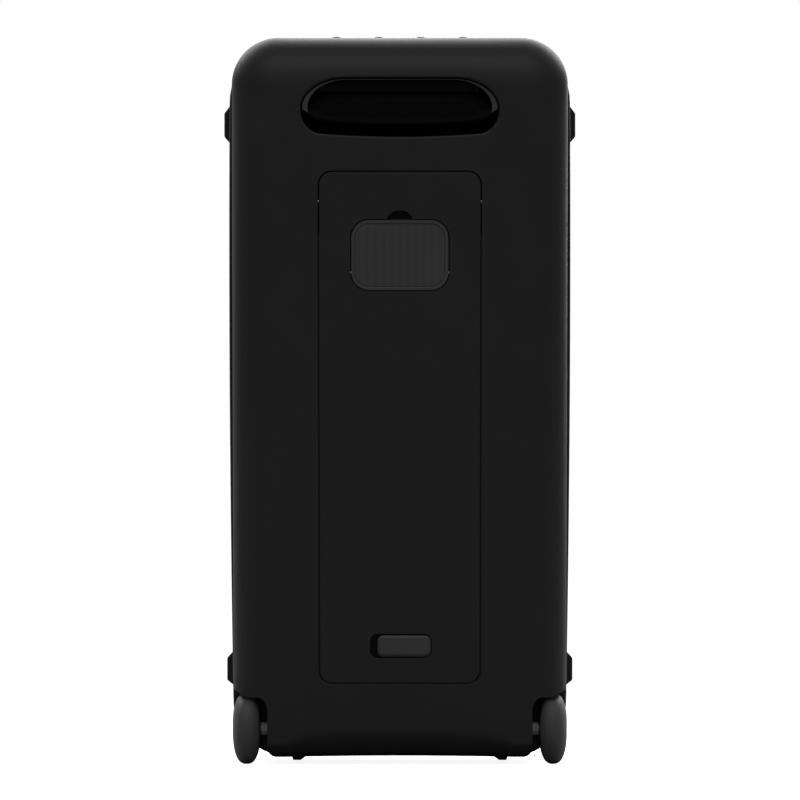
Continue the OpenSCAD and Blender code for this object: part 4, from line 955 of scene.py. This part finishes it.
class SPEAKER_OT_handle(bpy.types.Operator):
    """Hand pocket with its glossy cup and the soft grip liner"""
    bl_idname = "speaker.handle"
    bl_label = "Hand pocket"

    def execute(self, context):
        h = context.scene.speaker_handle
        outline = mouth(h)
        back, front = CUP_LOW.y, BACK_Y - context.scene.speaker_shell.wall
        floor = back + 3 * MM
        cup = block((CUP_LOW.x, back, CUP_LOW.z), (CUP_HIGH.x, front, CUP_HIGH.z), 6 * MM, 4)
        bmesh.ops.bisect_plane(cup, geom=cup.verts[:] + cup.edges[:] + cup.faces[:],
                               plane_co=(0, front - 6.5 * MM, 0), plane_no=(0, 1, 0),
                               clear_outer=True)
        rim = [e for e in cup.edges if e.is_boundary]
        grown = bmesh.ops.extrude_edge_only(cup, edges=rim)
        raised = [g for g in grown["geom"] if isinstance(g, bmesh.types.BMVert)]
        bmesh.ops.translate(cup, verts=raised, vec=(0, 6.5 * MM, 0))
        bmesh.ops.contextual_create(cup, geom=[e for e in cup.edges if e.is_boundary])
        bmesh.ops.recalc_face_normals(cup, faces=cup.faces)
        deep = 20 * MM
        rings = [at_y(outline(-inset), floor + depth) for inset, depth in edge_steps(deep, 7)]
        rings += [at_y(outline(0.0), front - 1 * MM), at_y(outline(0.4 * MM), front + 1 * MM)]
        hollow = block((CUP_LOW.x + 20 * MM, floor, h.high - 20 * MM),
                       (CUP_HIGH.x - 20 * MM, front - 17 * MM, CUP_HIGH.z - 5 * MM), 7 * MM, 5)
        s = context.scene.speaker_shell
        cup = carved(cup, shell_block(s, s.wall + 0.1 * MM, SHELL_LOW.y), operation="INTERSECT")
        # The cup's near-black finish is partly painted shade inside the pocket.
        piece("glossy_handle_cup", carved(cup, lofted(rings), hollow), look("pocket"), "cabinet",
              ("handle_cup",), angle=40)
        self.liner(h, front)
        return {"FINISHED"}

    def liner(self, h, front):
        """Soft strip behind the lip, widest where it ends at a slant in the upper corners."""
        cx, cz = h.half - h.upper_corner, h.high - h.upper_rise
        outer = oval_arc(cx, cz, h.upper_corner - 1.2 * MM, h.upper_rise - 1.2 * MM, -2, 90, 18)
        inner = []
        for i in range(19):
            share = i / 18
            thin = 1.2 * MM + 0.8 * MM + 5.2 * MM * (1 - eased(share, 0.0, 1.0))
            turn = math.radians(-12 + 102 * share)
            inner.append((cx + (h.upper_corner - thin) * math.cos(turn),
                          cz + (h.upper_rise - thin) * math.sin(turn)))
        ring = (outer + [(-x, z) for x, z in reversed(outer)]
                + [(-x, z) for x, z in inner] + list(reversed(inner)))
        strip = lofted([at_y(ring, front - 17 * MM), at_y(ring, front - 0.2 * MM)])
        piece("soft_grip_liner", strip, look("liner"), "cabinet", ("grip_liner",), angle=30,
              bevel=0.3 * MM)


class SPEAKER_OT_hatch(bpy.types.Operator):
    """Back hatch with its gasket and pins"""
    bl_idname = "speaker.hatch"
    bl_label = "Back hatch"

    def execute(self, context):
        t = context.scene.speaker_hatch
        outline = hatch_outline(t)
        plate = slab(outline, BACK_Y - 3 * MM, BACK_Y, 0.0, t.edge)
        latch_low, latch_high = LATCH_SLOT
        notch = lambda g: circle(0, FLAP_Z1 - 4.5 * MM, 14.6 * MM + g, 56)
        flap = lambda g: rounded_rect(FLAP_X0, -FLAP_X0, FLAP_Z0, FLAP_Z1, t.flap_corner,
                                      t.flap_corner, g + t.flap_gap)
        slot = lambda g: rounded_rect(latch_low[0], latch_high[0], latch_low[1], latch_high[1],
                                      8 * MM, 8 * MM, g)
        slot_back = slab(lambda g: slot(g + 2 * MM), BACK_Y - 7 * MM, BACK_Y - 2.5 * MM)
        notch_back = slab(lambda g: rounded_rect(-16.6 * MM, 16.6 * MM, FLAP_Z1 - 3 * MM,
                                                 FLAP_Z1 + 12.1 * MM, 0.3 * MM, 12 * MM, g),
                          BACK_Y - 7 * MM, BACK_Y - 2.5 * MM)
        lugs = [block((side * 72.8 * MM, BACK_Y - 13 * MM, HINGE_Z - 6 * MM),
                      (side * 81.8 * MM, BACK_Y - 2.5 * MM, HINGE_Z + 6 * MM)) for side in (1,)]
        ears = block((51 * MM, BACK_Y - 7.5 * MM, FLAP_PIN_Z - 4.5 * MM),
                     (57 * MM, BACK_Y - 2.5 * MM, FLAP_PIN_Z + 4.5 * MM), 0.5 * MM, 2)
        ribs = block((68.8 * MM, BACK_Y - 7 * MM, HATCH_Z0 + 30 * MM),
                     (70.8 * MM, BACK_Y - 2.5 * MM, HINGE_Z - 8 * MM), 0.4 * MM, 2)
        extras = [slot_back, notch_back, *lugs, *[mirrored(l) for l in lugs], mirrored(ears), ears,
                  mirrored(ribs), ribs]
        whole = carved(plate, *extras, operation="UNION")
        floor_cut = slab(notch, BACK_Y - 5 * MM, BACK_Y + 2 * MM)
        pin = turned([(0, 73 * MM), (2.02 * MM, 73 * MM), (2.02 * MM, 84 * MM), (0, 84 * MM)],
                     (0, BACK_Y - 7 * MM, HINGE_Z), "X", 32)
        flap_pin = turned([(0, 50 * MM), (1.55 * MM, 50 * MM), (1.55 * MM, 58 * MM), (0, 58 * MM)],
                          (0, BACK_Y - 4 * MM, FLAP_PIN_Z), "X", 24)
        def stem_room():
            return block((-13.9 * MM, BACK_Y - 9 * MM, LATCH_Z - 4.3 * MM),
                         (12.1 * MM, BACK_Y - 1 * MM, LATCH_Z + 4.3 * MM))
        hatch = carved(whole, opening(flap, BACK_Y - 4 * MM, BACK_Y, 0.45 * MM), floor_cut,
                       opening(slot, BACK_Y - 5 * MM, BACK_Y, 0.6 * MM), stem_room(), mirrored(pin), pin,
                       mirrored(flap_pin), flap_pin)
        piece("moulded_back_hatch", hatch, look("hatch"), "hatch", ("back_hatch",), angle=30)
        # Painted shade: thin near-black sheets on the floors of the flap's notch and the latch slot stand in for the
        # shade in these recesses.
        shade = joined(slab(lambda g: circle(0, FLAP_Z1 - 4.5 * MM, 14.4 * MM + g, 56),
                            BACK_Y - 4.98 * MM, BACK_Y - 4.7 * MM),
                       slab(lambda g: slot(g - 0.1 * MM), BACK_Y - 4.98 * MM, BACK_Y - 4.75 * MM))
        shade = carved(shade, stem_room(), opening(lambda g: flap(g + 0.3 * MM), BACK_Y - 8 * MM,
                                                   BACK_Y, 0.45 * MM))
        piece("painted_shade_recess_floors", shade, look("pocket"), "hatch", (), angle=30)
        refined("hatch_gasket", "foam_hatch_gasket", look("rubber"), 0.0)
        refined("hatch_pins", "steel_hatch_pins", look("steel"), 0.3 * MM)
        return {"FINISHED"}


LATCH_SLOT = ((-32.3 * MM, 108.1 * MM), (30.4 * MM, 132.6 * MM))
LATCH_Z = 120.35 * MM
HINGE_Z = 573 * MM
FLAP_PIN_Z = 500.5 * MM


class SPEAKER_OT_flap(bpy.types.Operator):
    """Socket flap with its border and ribs"""
    bl_idname = "speaker.flap"
    bl_label = "Socket flap"

    def execute(self, context):
        t = context.scene.speaker_hatch
        face = BACK_Y - 0.5 * MM

        def outline(grow=0.0):
            return rounded_rect(FLAP_X0, -FLAP_X0, FLAP_Z0, FLAP_Z1, t.flap_corner, t.flap_corner, grow)
        base = slab(outline, face - 3 * MM, BACK_Y, 0.3 * MM, 0.55 * MM)
        well = lofted([at_y(outline(-t.border - 0.6 * MM), face), at_y(outline(-t.border), face + 0.3 * MM),
                       at_y(outline(-t.border + 0.3 * MM), BACK_Y),
                       at_y(outline(-t.border + 0.3 * MM), BACK_Y + 1 * MM)])
        groove = carved(slab(lambda g: outline(g - t.border - 0.4 * MM), face - 0.7 * MM, face + 0.2 * MM),
                        slab(lambda g: outline(g - t.border - 1.3 * MM), face - 2 * MM, face + 1 * MM))
        plate = carved(base, well, groove)
        width = -2 * FLAP_X0
        step = (width - 16 * MM) / t.ribs
        ribs = []
        for i in range(t.ribs + 1):
            x = FLAP_X0 + 8 * MM + i * step
            inset = 6.5 * MM + max(0.0, abs(x) - 33 * MM) * 0.35
            ribs.append(block((x - 0.75 * MM, face - 0.6 * MM, FLAP_Z0 + inset),
                              (x + 0.75 * MM, BACK_Y - 0.05 * MM, FLAP_Z1 - inset), 0.35 * MM, 2))
        lug = block((42 * MM, BACK_Y - 7.5 * MM, FLAP_PIN_Z - 3.5 * MM),
                    (49.2 * MM, face - 2.5 * MM, FLAP_PIN_Z + 3.5 * MM), 0.5 * MM, 2)
        plate = carved(plate, mirrored(lug), lug, *ribs, operation="UNION")
        pin = turned([(0, 43 * MM), (1.52 * MM, 43 * MM), (1.52 * MM, 52 * MM), (0, 52 * MM)],
                     (0, BACK_Y - 4 * MM, FLAP_PIN_Z), "X", 24)
        plate = carved(plate, mirrored(pin), pin)
        piece("ribbed_socket_flap", plate, look("flap"), "flap", ("socket_flap",), angle=28)
        refined("flap_pins", "steel_flap_pins", look("steel"), 0.2 * MM)
        return {"FINISHED"}


class SPEAKER_OT_latch(bpy.types.Operator):
    """Sliding latch and its bolt"""
    bl_idname = "speaker.latch"
    bl_label = "Latch"

    def execute(self, context):
        (x0, _, z0), (x1, _, z1) = [tuple(c) for c in corners("latch_slider")]
        out = BACK_Y + 0.5 * MM

        def outline(grow=0.0):
            return rounded_rect(x0, x1, z0, z1, 6.3 * MM, 6.3 * MM, grow)
        rings = [at_y(outline(-0.3 * MM), BACK_Y - 4.7 * MM), at_y(outline(), BACK_Y - 4.4 * MM),
                 at_y(outline(), BACK_Y - 1.6 * MM), at_y(outline(-0.35 * MM), BACK_Y - 1.1 * MM),
                 at_y(outline(-2.4 * MM), out - 0.15 * MM), at_y(outline(-3.0 * MM), out)]
        stem = block((-13.55 * MM, BACK_Y - 7.3 * MM, LATCH_Z - 4 * MM),
                     (4.45 * MM, BACK_Y - 4.5 * MM, LATCH_Z + 4 * MM), 0.3 * MM, 2)
        slider = carved(lofted(rings), stem, operation="UNION")
        piece("bevelled_latch_slider", slider, look("latch"), "latch", ("latch_slider",), angle=26)
        refined("latch_bolt", "steel_latch_bolt", look("steel"), 0.4 * MM)
        return {"FINISHED"}


class SPEAKER_OT_wheels(bpy.types.Operator):
    """Wheels with their hubs, axles and spacers"""
    bl_idname = "speaker.wheels"
    bl_label = "Wheels"

    def execute(self, context):
        w = context.scene.speaker_wheels
        radius, wide = TYRE_HIGH.z - AXLE.z, 2 * (AXLE.x - HUB_LOW.x)

        def side(r):
            """Half the width of a wheel at a radius."""
            return wide / 2 * max(0.0, 1 - (r / radius) ** w.power) ** (1 / w.power)
        steps = 18
        turn = [math.pi / 2 * i / steps for i in range(steps + 1)]
        radii = [w.hub + (radius - w.hub) * math.sin(a) for a in turn]
        tread = [(r, -side(r)) for r in radii] + [(r, side(r)) for r in reversed(radii[:-1])]
        hub_in = [4.05 * MM + (w.hub - 0.1 * MM - 4.05 * MM) * i / 8 for i in range(9)]
        hub_out = [9 * MM + (w.hub - 0.1 * MM - 9 * MM) * i / 6 for i in range(7)]
        web = 2 * MM
        hub = ([(r, -side(r)) for r in hub_in[:-1]] + [(w.hub - 0.5 * MM, -side(w.hub) + 0.05 * MM),
               (w.hub - 0.1 * MM, -side(w.hub) + 0.8 * MM), (w.hub - 0.1 * MM, side(w.hub) - 0.8 * MM),
               (w.hub - 0.5 * MM, side(w.hub) - 0.05 * MM)]
               + [(r, side(r)) for r in reversed(hub_out[:-1])] + [(9 * MM, web), (4.05 * MM, web)])
        for name, sign in (("left", 1), ("right", -1)):
            axis = "X" if sign == 1 else "-X"
            centre = (sign * AXLE.x, AXLE.y, AXLE.z)
            piece(f"{name}_domed_tyre", turned(tread, centre, axis, 120), look("tyre"),
                  f"{name}_wheel", (f"{name}_tyre",), angle=60)
            piece(f"{name}_wheel_hub", turned(hub, centre, axis, 72), look("hub"),
                  f"{name}_wheel", (f"{name}_hub",), angle=40)
            refined(f"{name}_axle", f"{name}_shoulder_bolt", look("steel"), 0.5 * MM)
        refined("wheel_spacers", "nylon_wheel_spacers", look("spacer"), 0.5 * MM)
        return {"FINISHED"}


# Front -------------------------------------------------------------------------------

WOOFER_Z = {"upper": 464 * MM, "lower": 227 * MM}
TWEETER = (72 * MM, 641 * MM)
PORT = (92 * MM, 68 * MM)


class SPEAKER_OT_grille(bpy.types.Operator):
    """Perforated steel grille and the baffle behind it"""
    bl_idname = "speaker.grille"
    bl_label = "Grille"

    def execute(self, context):
        g = context.scene.speaker_grille
        edge = 7.3 * MM
        windows = [(0, z, 114.3 * MM) for z in WOOFER_Z.values()]
        windows += [(x, TWEETER[1], 45.3 * MM) for x in (-TWEETER[0], TWEETER[0])]
        windows += [(x, PORT[1], 27.3 * MM) for x in (-PORT[0], PORT[0])]
        loops = [frame_outline(edge)] + [circle(*window, 96) for window in windows]
        row = g.pitch * math.sqrt(3) / 2
        z0, z1 = FRAME_LOW.z, FRAME_HIGH.z
        clear = g.hole + g.margin
        low_c, high_c = z0 + 59 * MM, z1 - 62 * MM
        j = 0
        while z0 + j * row < z1:
            z = z0 + j * row
            half = frame_side(z) - edge - clear
            if z < low_c:
                reach = 59 * MM - edge - clear
                rise = low_c - z
                half = -1.0 if rise > reach else (frame_side(low_c) - 59 * MM
                                                  + math.sqrt(reach ** 2 - rise ** 2))
            elif z > high_c:
                reach = 62 * MM - edge - clear
                rise = z - high_c
                half = -1.0 if rise > reach else (frame_side(high_c) - 62 * MM
                                                  + math.sqrt(reach ** 2 - rise ** 2))
            count = int(2 * abs(half) / g.pitch) + 2
            for i in range(-count, count + 1):
                x = (i + 0.5 * (j % 2)) * g.pitch
                if abs(x) > half or any(math.hypot(x - cx, z - cz) < r + clear - 1.5 * MM
                                        for cx, cz, r in windows):
                    continue
                loops.append(arc(x, z, g.hole, 30, 330, 5))
            j += 1
        curve = bpy.data.curves.new("grille_outline", "CURVE")
        curve.dimensions = "2D"
        curve.fill_mode = "BOTH"
        curve.extrude = (1.5 * MM) / 2
        for loop in loops:
            spline = curve.splines.new("POLY")
            spline.points.add(len(loop) - 1)
            for point, (x, z) in zip(spline.points, loop):
                point.co = (x, z, 0, 1)
            spline.use_cyclic_u = True
        flat = bpy.data.objects.new("grille_outline", curve)
        context.scene.collection.objects.link(flat)
        graph = context.evaluated_depsgraph_get()
        mesh = bpy.data.meshes.new_from_object(flat.evaluated_get(graph))
        bpy.data.objects.remove(flat)
        bm = bmesh.new()
        bm.from_mesh(mesh)
        bpy.data.meshes.remove(mesh)
        bmesh.ops.remove_doubles(bm, verts=bm.verts, dist=1e-6)
        bmesh.ops.transform(bm, matrix=Matrix.Translation((0, GRILLE_LOW.y + 0.75 * MM, 0))
                            @ Matrix.Rotation(math.pi / 2, 4, "X"), verts=bm.verts)
        bmesh.ops.recalc_face_normals(bm, faces=bm.faces)
        posts = [turned([(0, 0), (4 * MM, 0), (4 * MM, 17 * MM), (0, 17 * MM)],
                        (x, GRILLE_LOW.y + 18.5 * MM, z), "-Y", 20)
                 for x in (-145 * MM, 145 * MM) for z in (120 * MM, 345 * MM, 570 * MM)]
        piece("perforated_grille", joined(bm, *posts), look("grille"), "cabinet", ("grille",),
              angle=30)
        refined("baffle", "fibreboard_baffle", look("panel"), 0.6 * MM)
        return {"FINISHED"}


class SPEAKER_OT_woofers(bpy.types.Operator):
    """Woofers with their light rings"""
    bl_idname = "speaker.woofers"
    bl_label = "Woofers"

    def execute(self, context):
        y = BAFFLE_LOW.y
        rings = []
        for name, z in WOOFER_Z.items():
            centre = (0, y, z)
            rings.append(turned([(r * MM, h * MM) for r, h in (
                (106, 0), (114, 0), (114, 16.6), (113.6, 17.6), (112.6, 18.3), (111.4, 18.5),
                (108.6, 18.5), (107.2, 18.2), (106.3, 17.4), (106, 16.4))], centre, "-Y", 128))
            refined(f"{name}_woofer_basket", f"{name}_pressed_basket", look("basket"), 0.5 * MM)
            refined(f"{name}_woofer_motor", f"{name}_ferrite_motor", look("magnet"), 1.0 * MM)
            body = f"{name}_cone"
            slope = (30.0 + 1.0) / (84 - 25.8)
            ridges = [(25.8 + (84 - 25.8) * i / 24, -30 + (29.0) * i / 24) for i in range(25)]
            wave = [(r, h + (0.35 if i % 6 == 3 else 0.0)) for i, (r, h) in enumerate(ridges)]
            skin = ([(25.2, -85), (25.8, -85)] + wave
                    + [(84, 0.4)] + [(r, h + 1.5) for r, h in reversed(wave[1:-1])] + [(25.2, -28.4)])
            cone = turned([(r * MM, h * MM) for r, h in skin], centre, "-Y", 96)
            cap_z = -30 + (38 - 25.8) * 29 / (84 - 25.8)
            dome = [(38 * i / 14, cap_z + 1 + 14 * (1 - (i / 14) ** 2)) for i in range(15)]
            under = [(38 * i / 14, cap_z - 0.3 + 14 * (1 - (i / 14) ** 2)) for i in range(15)]
            cap = turned([(r * MM, h * MM) for r, h in dome + list(reversed(under))], centre, "-Y", 72)
            piece(f"{name}_pressed_cone", joined(cone, cap), look("cone"), body,
                  (f"{name}_woofer_cone",), angle=40)
            roll = [(88 + 5 * math.cos(math.pi * i / 16), 0.5 + 5 * math.sin(math.pi * i / 16))
                    for i in range(17)]
            hollow = [(88 + 4 * math.cos(math.pi * i / 16), 0.5 + 4 * math.sin(math.pi * i / 16))
                      for i in range(17)]
            rubber = turned([(r * MM, h * MM) for r, h in roll + list(reversed(hollow))], centre, "-Y", 96)
            waves = [(26 + 26 * i / 24, -61.2 + 0.45 * math.sin(math.tau * i / 6)) for i in range(25)]
            spider = turned([(r * MM, h * MM) for r, h in
                             waves + [(r, h - 0.5) for r, h in reversed(waves)]], centre, "-Y", 72)
            surround = piece(f"{name}_rolled_surround", joined(rubber, spider), look("surround"), None,
                             (f"{name}_woofer_surround",), angle=50)
            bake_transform(surround, body, "cabinet", (0, y, z), (0, y, z + 100 * MM))
            share = surround.data.attributes["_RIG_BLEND"]
            for vertex, entry in zip(surround.data.vertices, share.data):
                r = math.hypot(vertex.co.x, vertex.co.z - z) / MM
                inner, outer = (83, 93) if r > 60 else (26, 52)
                entry.value = eased(r, inner, outer)
        piece("milky_light_rings", joined(*rings), look("diffuser"), "cabinet", ("light_rings",),
              angle=40)
        return {"FINISHED"}


class SPEAKER_OT_tweeters(bpy.types.Operator):
    """Tweeters and bass ports"""
    bl_idname = "speaker.tweeters"
    bl_label = "Tweeters and ports"

    def execute(self, context):
        y = BAFFLE_LOW.y
        horn = [(14, -12), (20, -12), (20, 0), (45, 0), (45, 17.9), (44.4, 18.5), (42.8, 18.5)]
        flare = [(42, 18.2), (40.5, 17), (38.4, 14.2), (35.5, 11.2), (31.5, 8.8), (27, 7), (22, 5),
                 (18.5, 3.2), (16.2, 1.2), (14.8, -0.6), (14, -2.4)]
        for name, sign in (("left", 1), ("right", -1)):
            centre = (sign * TWEETER[0], y, TWEETER[1])
            guide = turned([(r * MM, h * MM) for r, h in horn + flare], centre, "-Y", 96)
            piece(f"{name}_tweeter_horn", guide, look("frame"), "cabinet",
                  (f"{name}_tweeter_waveguide",), angle=40)
            refined(f"{name}_tweeter_driver", f"{name}_dome_tweeter", look("aluminium"), 0.6 * MM)
        ports = []
        tube = [(23, -120), (25, -120), (25, 0), (27, 0), (27, 18.1), (26.7, 18.5), (26.1, 18.4),
                (25.4, 16.5), (24.6, 12.5), (23.8, 8.2), (23.2, 5.2), (23, 3)]
        for x in (-PORT[0], PORT[0]):
            ports.append(turned([(r * MM, h * MM) for r, h in tube], (x, y, PORT[1]), "-Y", 72))
        piece("flared_port_tubes", joined(*ports), look("frame"), "cabinet", ("port_tubes",),
              angle=40)
        return {"FINISHED"}


# Controls and inside -----------------------------------------------------------------

class SPEAKER_OT_controls(bpy.types.Operator):
    """Control well, knobs, buttons and jacks"""
    bl_idname = "speaker.controls"
    bl_label = "Controls"

    def execute(self, context):
        refined("top_panel", "control_well", look("control"), 0.6 * MM, 3)
        refined("instrument_jacks", "plated_instrument_jacks", look("steel"), 0.4 * MM)
        for i in range(4):
            low, high = corners(f"knob_{i + 1}")
            x, y, z = (i - 1.5) * 43 * MM, 60 * MM, high.z - 1.2 * MM
            base = 725.5 * MM
            profile = [(3.0, base / MM - z / MM - 5.0), (3.0, base / MM - z / MM), (6.6, base / MM - z / MM),
                       (7.0, base / MM - z / MM + 0.4), (7.0, -5.4), (6.8, -4.2), (6.3, -3.0), (5.5, -1.9),
                       (4.6, -1.0), (3.6, -0.35), (2.4, 0.0)]
            knob = fluted([(r * MM, h * MM) for r, h in profile], (x, y, z), 18, 0.45 * MM,
                          (base - z) + 0.3 * MM, -5.0 * MM)
            mark = block((x - 0.5 * MM, y + 5.0 * MM, z - 7 * MM), (x + 0.5 * MM, y + 7.1 * MM, z - 3.6 * MM),
                         0.2 * MM, 2)
            shaft = turned([(0, 704 * MM), (3 * MM, 704 * MM), (3 * MM, 722 * MM), (0, 722 * MM)],
                           (x, y, 0), "Z", 32)
            body = f"knob_{i + 1}_body"
            piece(f"fluted_knob_{i + 1}", joined(knob, shaft), look("knob"), body,
                  (f"knob_{i + 1}",), angle=40)
            piece(f"knob_pointer_{i + 1}", mark, look("pointer"), body, ())
        base, top = 725.5 * MM, 738.5 * MM
        profile = [(3, -4), (3, 0), (27.2, 0), (28, 0.8), (28, 10.6), (27.7, 11.6), (27, 12.4), (26, 12.85),
                   (24.8, 13), (21, 12.3), (16, 11.7), (8, 11.35), (2, 11.3)]
        knob = fluted([(r * MM, h * MM) for r, h in profile], (0, 0, base), 60, 0.6 * MM,
                      0.7 * MM, 11 * MM)
        mark = block((-0.6 * MM, 19 * MM, top - 1.5 * MM), (0.6 * MM, 25.5 * MM, top - 0.2 * MM), 0.2 * MM, 2)
        shaft = turned([(0, 704 * MM), (3 * MM, 704 * MM), (3 * MM, 722 * MM), (0, 722 * MM)],
                       (0, 0, 0), "Z", 32)
        piece("fluted_volume_knob", joined(knob, shaft), look("knob"), "volume", ("volume_knob",),
              angle=40)
        piece("volume_pointer", mark, look("pointer"), "volume", ())
        for i in range(4):
            low, high = corners(f"button_{i + 1}")
            x = (low.x + high.x) / 2
            profile = [(0, -5), (6.5, -5), (8.5, -3), (8.5, 1.9), (8.35, 2.4), (8, 2.8), (7.4, 3),
                       (6.4, 2.9), (5, 2.65), (3, 2.45), (0, 2.4)]
            cap = turned([(r * MM, h * MM) for r, h in profile], (x, 0, 725 * MM), "Z", 64)
            piece(f"dished_button_{i + 1}", cap, look("knob"), f"button_{i + 1}_body",
                  (f"button_{i + 1}",), angle=40)
        return {"FINISHED"}


class SPEAKER_OT_inside(bpy.types.Operator):
    """Battery bay, sockets, boards, brace and the other pieces inside"""
    bl_idname = "speaker.inside"
    bl_label = "Inside"

    def execute(self, context):
        for node, name, kind, edge in (
                ("battery_bay", "ribbed_battery_bay", "panel", 0.2), ("battery_pack", "battery_case", "battery", 1.2),
                ("battery_contacts", "battery_contact_block", "brass", 0.3),
                ("socket_panel", "socket_plate", "panel", 0.4), ("mains_inlet", "mains_socket", "control", 0.3),
                ("signal_sockets", "plated_signal_sockets", "steel", 0.2),
                ("control_board", "control_circuit", "circuit", 0.1),
                ("cross_brace", "chipboard_brace", "brace", 0.3),
                ("amplifier_board", "amplifier_circuit", "circuit", 0.2),
                ("heat_sink", "finned_heat_sink", "aluminium", 0.3),
                ("power_supply", "slotted_power_supply", "aluminium", 0.5),
                ("wiring_loom", "sleeved_loom", "loom", 0.0), ("cabinet_screws", "plated_screws", "steel", 0.3)):
            refined(node, name, look(kind), edge * MM)
        return {"FINISHED"}


# Studio ------------------------------------------------------------------------------

def softbox(name, place, aim, width, height, power):
    """A soft rectangular light that the camera doesn't see."""
    lamp = bpy.data.lights.new(name, "AREA")
    lamp.shape = "RECTANGLE"
    lamp.size, lamp.size_y = width, height
    lamp.energy = power
    obj = bpy.data.objects.new(name, lamp)
    obj.location = place
    obj.rotation_euler = (Vector(aim) - Vector(place)).to_track_quat("-Z", "Y").to_euler()
    obj.visible_camera = False
    bpy.context.scene.collection.objects.link(obj)
    return obj


class SPEAKER_OT_stage(bpy.types.Operator):
    """Pale floor, soft light and the camera behind the speaker"""
    bl_idname = "speaker.stage"
    bl_label = "Studio"

    def execute(self, context):
        scene = context.scene
        light = scene.speaker_light
        scene.view_settings.view_transform = "Standard"
        world = bpy.data.worlds.new("studio_room")
        scene.world = world
        world.use_nodes = True
        tree = world.node_tree
        room = tree.nodes["Background"]
        room.inputs["Color"].default_value = (1, 1, 1, 1)
        room.inputs["Strength"].default_value = light.room
        seen = made(tree, "ShaderNodeBackground", in_Color=(1, 1, 1, 1), in_Strength=1.0)
        path = tree.nodes.new("ShaderNodeLightPath")
        choice = tree.nodes.new("ShaderNodeMixShader")
        tree.links.new(path.outputs["Is Camera Ray"], choice.inputs[0])
        tree.links.new(room.outputs[0], choice.inputs[1])
        tree.links.new(seen.outputs[0], choice.inputs[2])
        tree.links.new(choice.outputs[0], tree.nodes["World Output"].inputs["Surface"])
        self.floor()
        softbox("overhead_softbox", (0, -1.7, 2.1), (0, 0, 0.74), 4.8, 1.6, light.top)
        softbox("upper_back_softbox", (0, 1.7, 2.5), (0, 0.1, 0.6), 2.6, 1.0, light.upper)
        for side in (-1, 1):
            softbox("side_strip", (side * 1.5, -2.3, 0.6), (0, 0, 0.4), 1.0, 2.2, light.side)
        softbox("front_softbox", (-0.9, -3.2, 1.5), (0, 0, 0.4), 2.4, 2.0, light.front)
        width = 0.8144
        away = 25.0
        camera = bpy.data.objects.new("camera", bpy.data.cameras.new("camera"))
        camera.location = (-0.2 * MM, BACK_Y + away, 370.8 * MM)
        camera.rotation_euler = (math.pi / 2, 0, math.pi)
        camera.data.sensor_width = 36.0
        camera.data.lens = camera.data.sensor_width * away / width
        camera.data.clip_end = 200.0
        scene.collection.objects.link(camera)
        scene.camera = camera
        return {"FINISHED"}

    def floor(self):
        """A wide pale floor that darkens under the speaker."""
        bm = bmesh.new()
        bmesh.ops.create_grid(bm, x_segments=1, y_segments=1, size=500.0)
        mesh = bpy.data.meshes.new("studio_floor")
        bm.to_mesh(mesh)
        bm.free()
        obj = bpy.data.objects.new("studio_floor", mesh)
        bpy.context.scene.collection.objects.link(obj)
        material = bpy.data.materials.new("studio_floor")
        material.use_nodes = True
        tree = material.node_tree
        tree.nodes.remove(tree.nodes["Principled BSDF"])
        path = tree.nodes.new("ShaderNodeLightPath")
        glow = made(tree, "ShaderNodeEmission", in_Color=(1, 1, 1, 1), in_Strength=0.90)
        seen = made(tree, "ShaderNodeBsdfDiffuse", in_Color=(0.9, 0.9, 0.9, 1))
        both = tree.nodes.new("ShaderNodeAddShader")
        tree.links.new(glow.outputs[0], both.inputs[0])
        tree.links.new(seen.outputs[0], both.inputs[1])
        dim = made(tree, "ShaderNodeBsdfDiffuse", in_Color=(0.3, 0.3, 0.3, 1))
        choice = tree.nodes.new("ShaderNodeMixShader")
        tree.links.new(path.outputs["Is Camera Ray"], choice.inputs[0])
        tree.links.new(dim.outputs[0], choice.inputs[1])
        tree.links.new(both.outputs[0], choice.inputs[2])
        tree.links.new(choice.outputs[0], tree.nodes["Material Output"].inputs["Surface"])
        mesh.materials.append(material)


OPERATORS = (SPEAKER_OT_stage, SPEAKER_OT_rear_shell, SPEAKER_OT_front_frame, SPEAKER_OT_handle,
             SPEAKER_OT_hatch, SPEAKER_OT_flap, SPEAKER_OT_latch, SPEAKER_OT_wheels,
             SPEAKER_OT_grille, SPEAKER_OT_woofers, SPEAKER_OT_tweeters, SPEAKER_OT_controls,
             SPEAKER_OT_inside)
SETTINGS = {"speaker_shell": ShellSizes, "speaker_handle": HandleSizes, "speaker_hatch": HatchSizes,
            "speaker_wheels": WheelSizes, "speaker_grille": GrilleSizes, "speaker_colours": Colours,
            "speaker_light": StudioLight}


class SPEAKER_PT_panel(bpy.types.Panel):
    """Sizes, colours and the steps that build the speaker"""
    bl_label = "Party speaker"
    bl_space_type = "VIEW_3D"
    bl_region_type = "UI"
    bl_category = "Speaker"

    def draw(self, context):
        for setting in SETTINGS:
            box = self.layout.box()
            group_of = getattr(context.scene, setting)
            for label in group_of.bl_rna.properties.keys():
                if label not in ("rna_type", "name"):
                    box.prop(group_of, label)
        for operator in OPERATORS:
            self.layout.operator(operator.bl_idname)


def register():
    for settings in SETTINGS.values():
        bpy.utils.register_class(settings)
    for name, settings in SETTINGS.items():
        setattr(bpy.types.Scene, name, PointerProperty(type=settings))
    for operator in OPERATORS:
        bpy.utils.register_class(operator)
    bpy.utils.register_class(SPEAKER_PT_panel)


def unregister():
    bpy.utils.unregister_class(SPEAKER_PT_panel)
    for operator in reversed(OPERATORS):
        bpy.utils.unregister_class(operator)
    for name, settings in SETTINGS.items():
        delattr(bpy.types.Scene, name)
        bpy.utils.unregister_class(settings)


def main():
    register()
    for operator in OPERATORS:
        step = operator.bl_idname.split(".")[1]
        getattr(bpy.ops.speaker, step)()


if __name__ == "__main__":
    main()
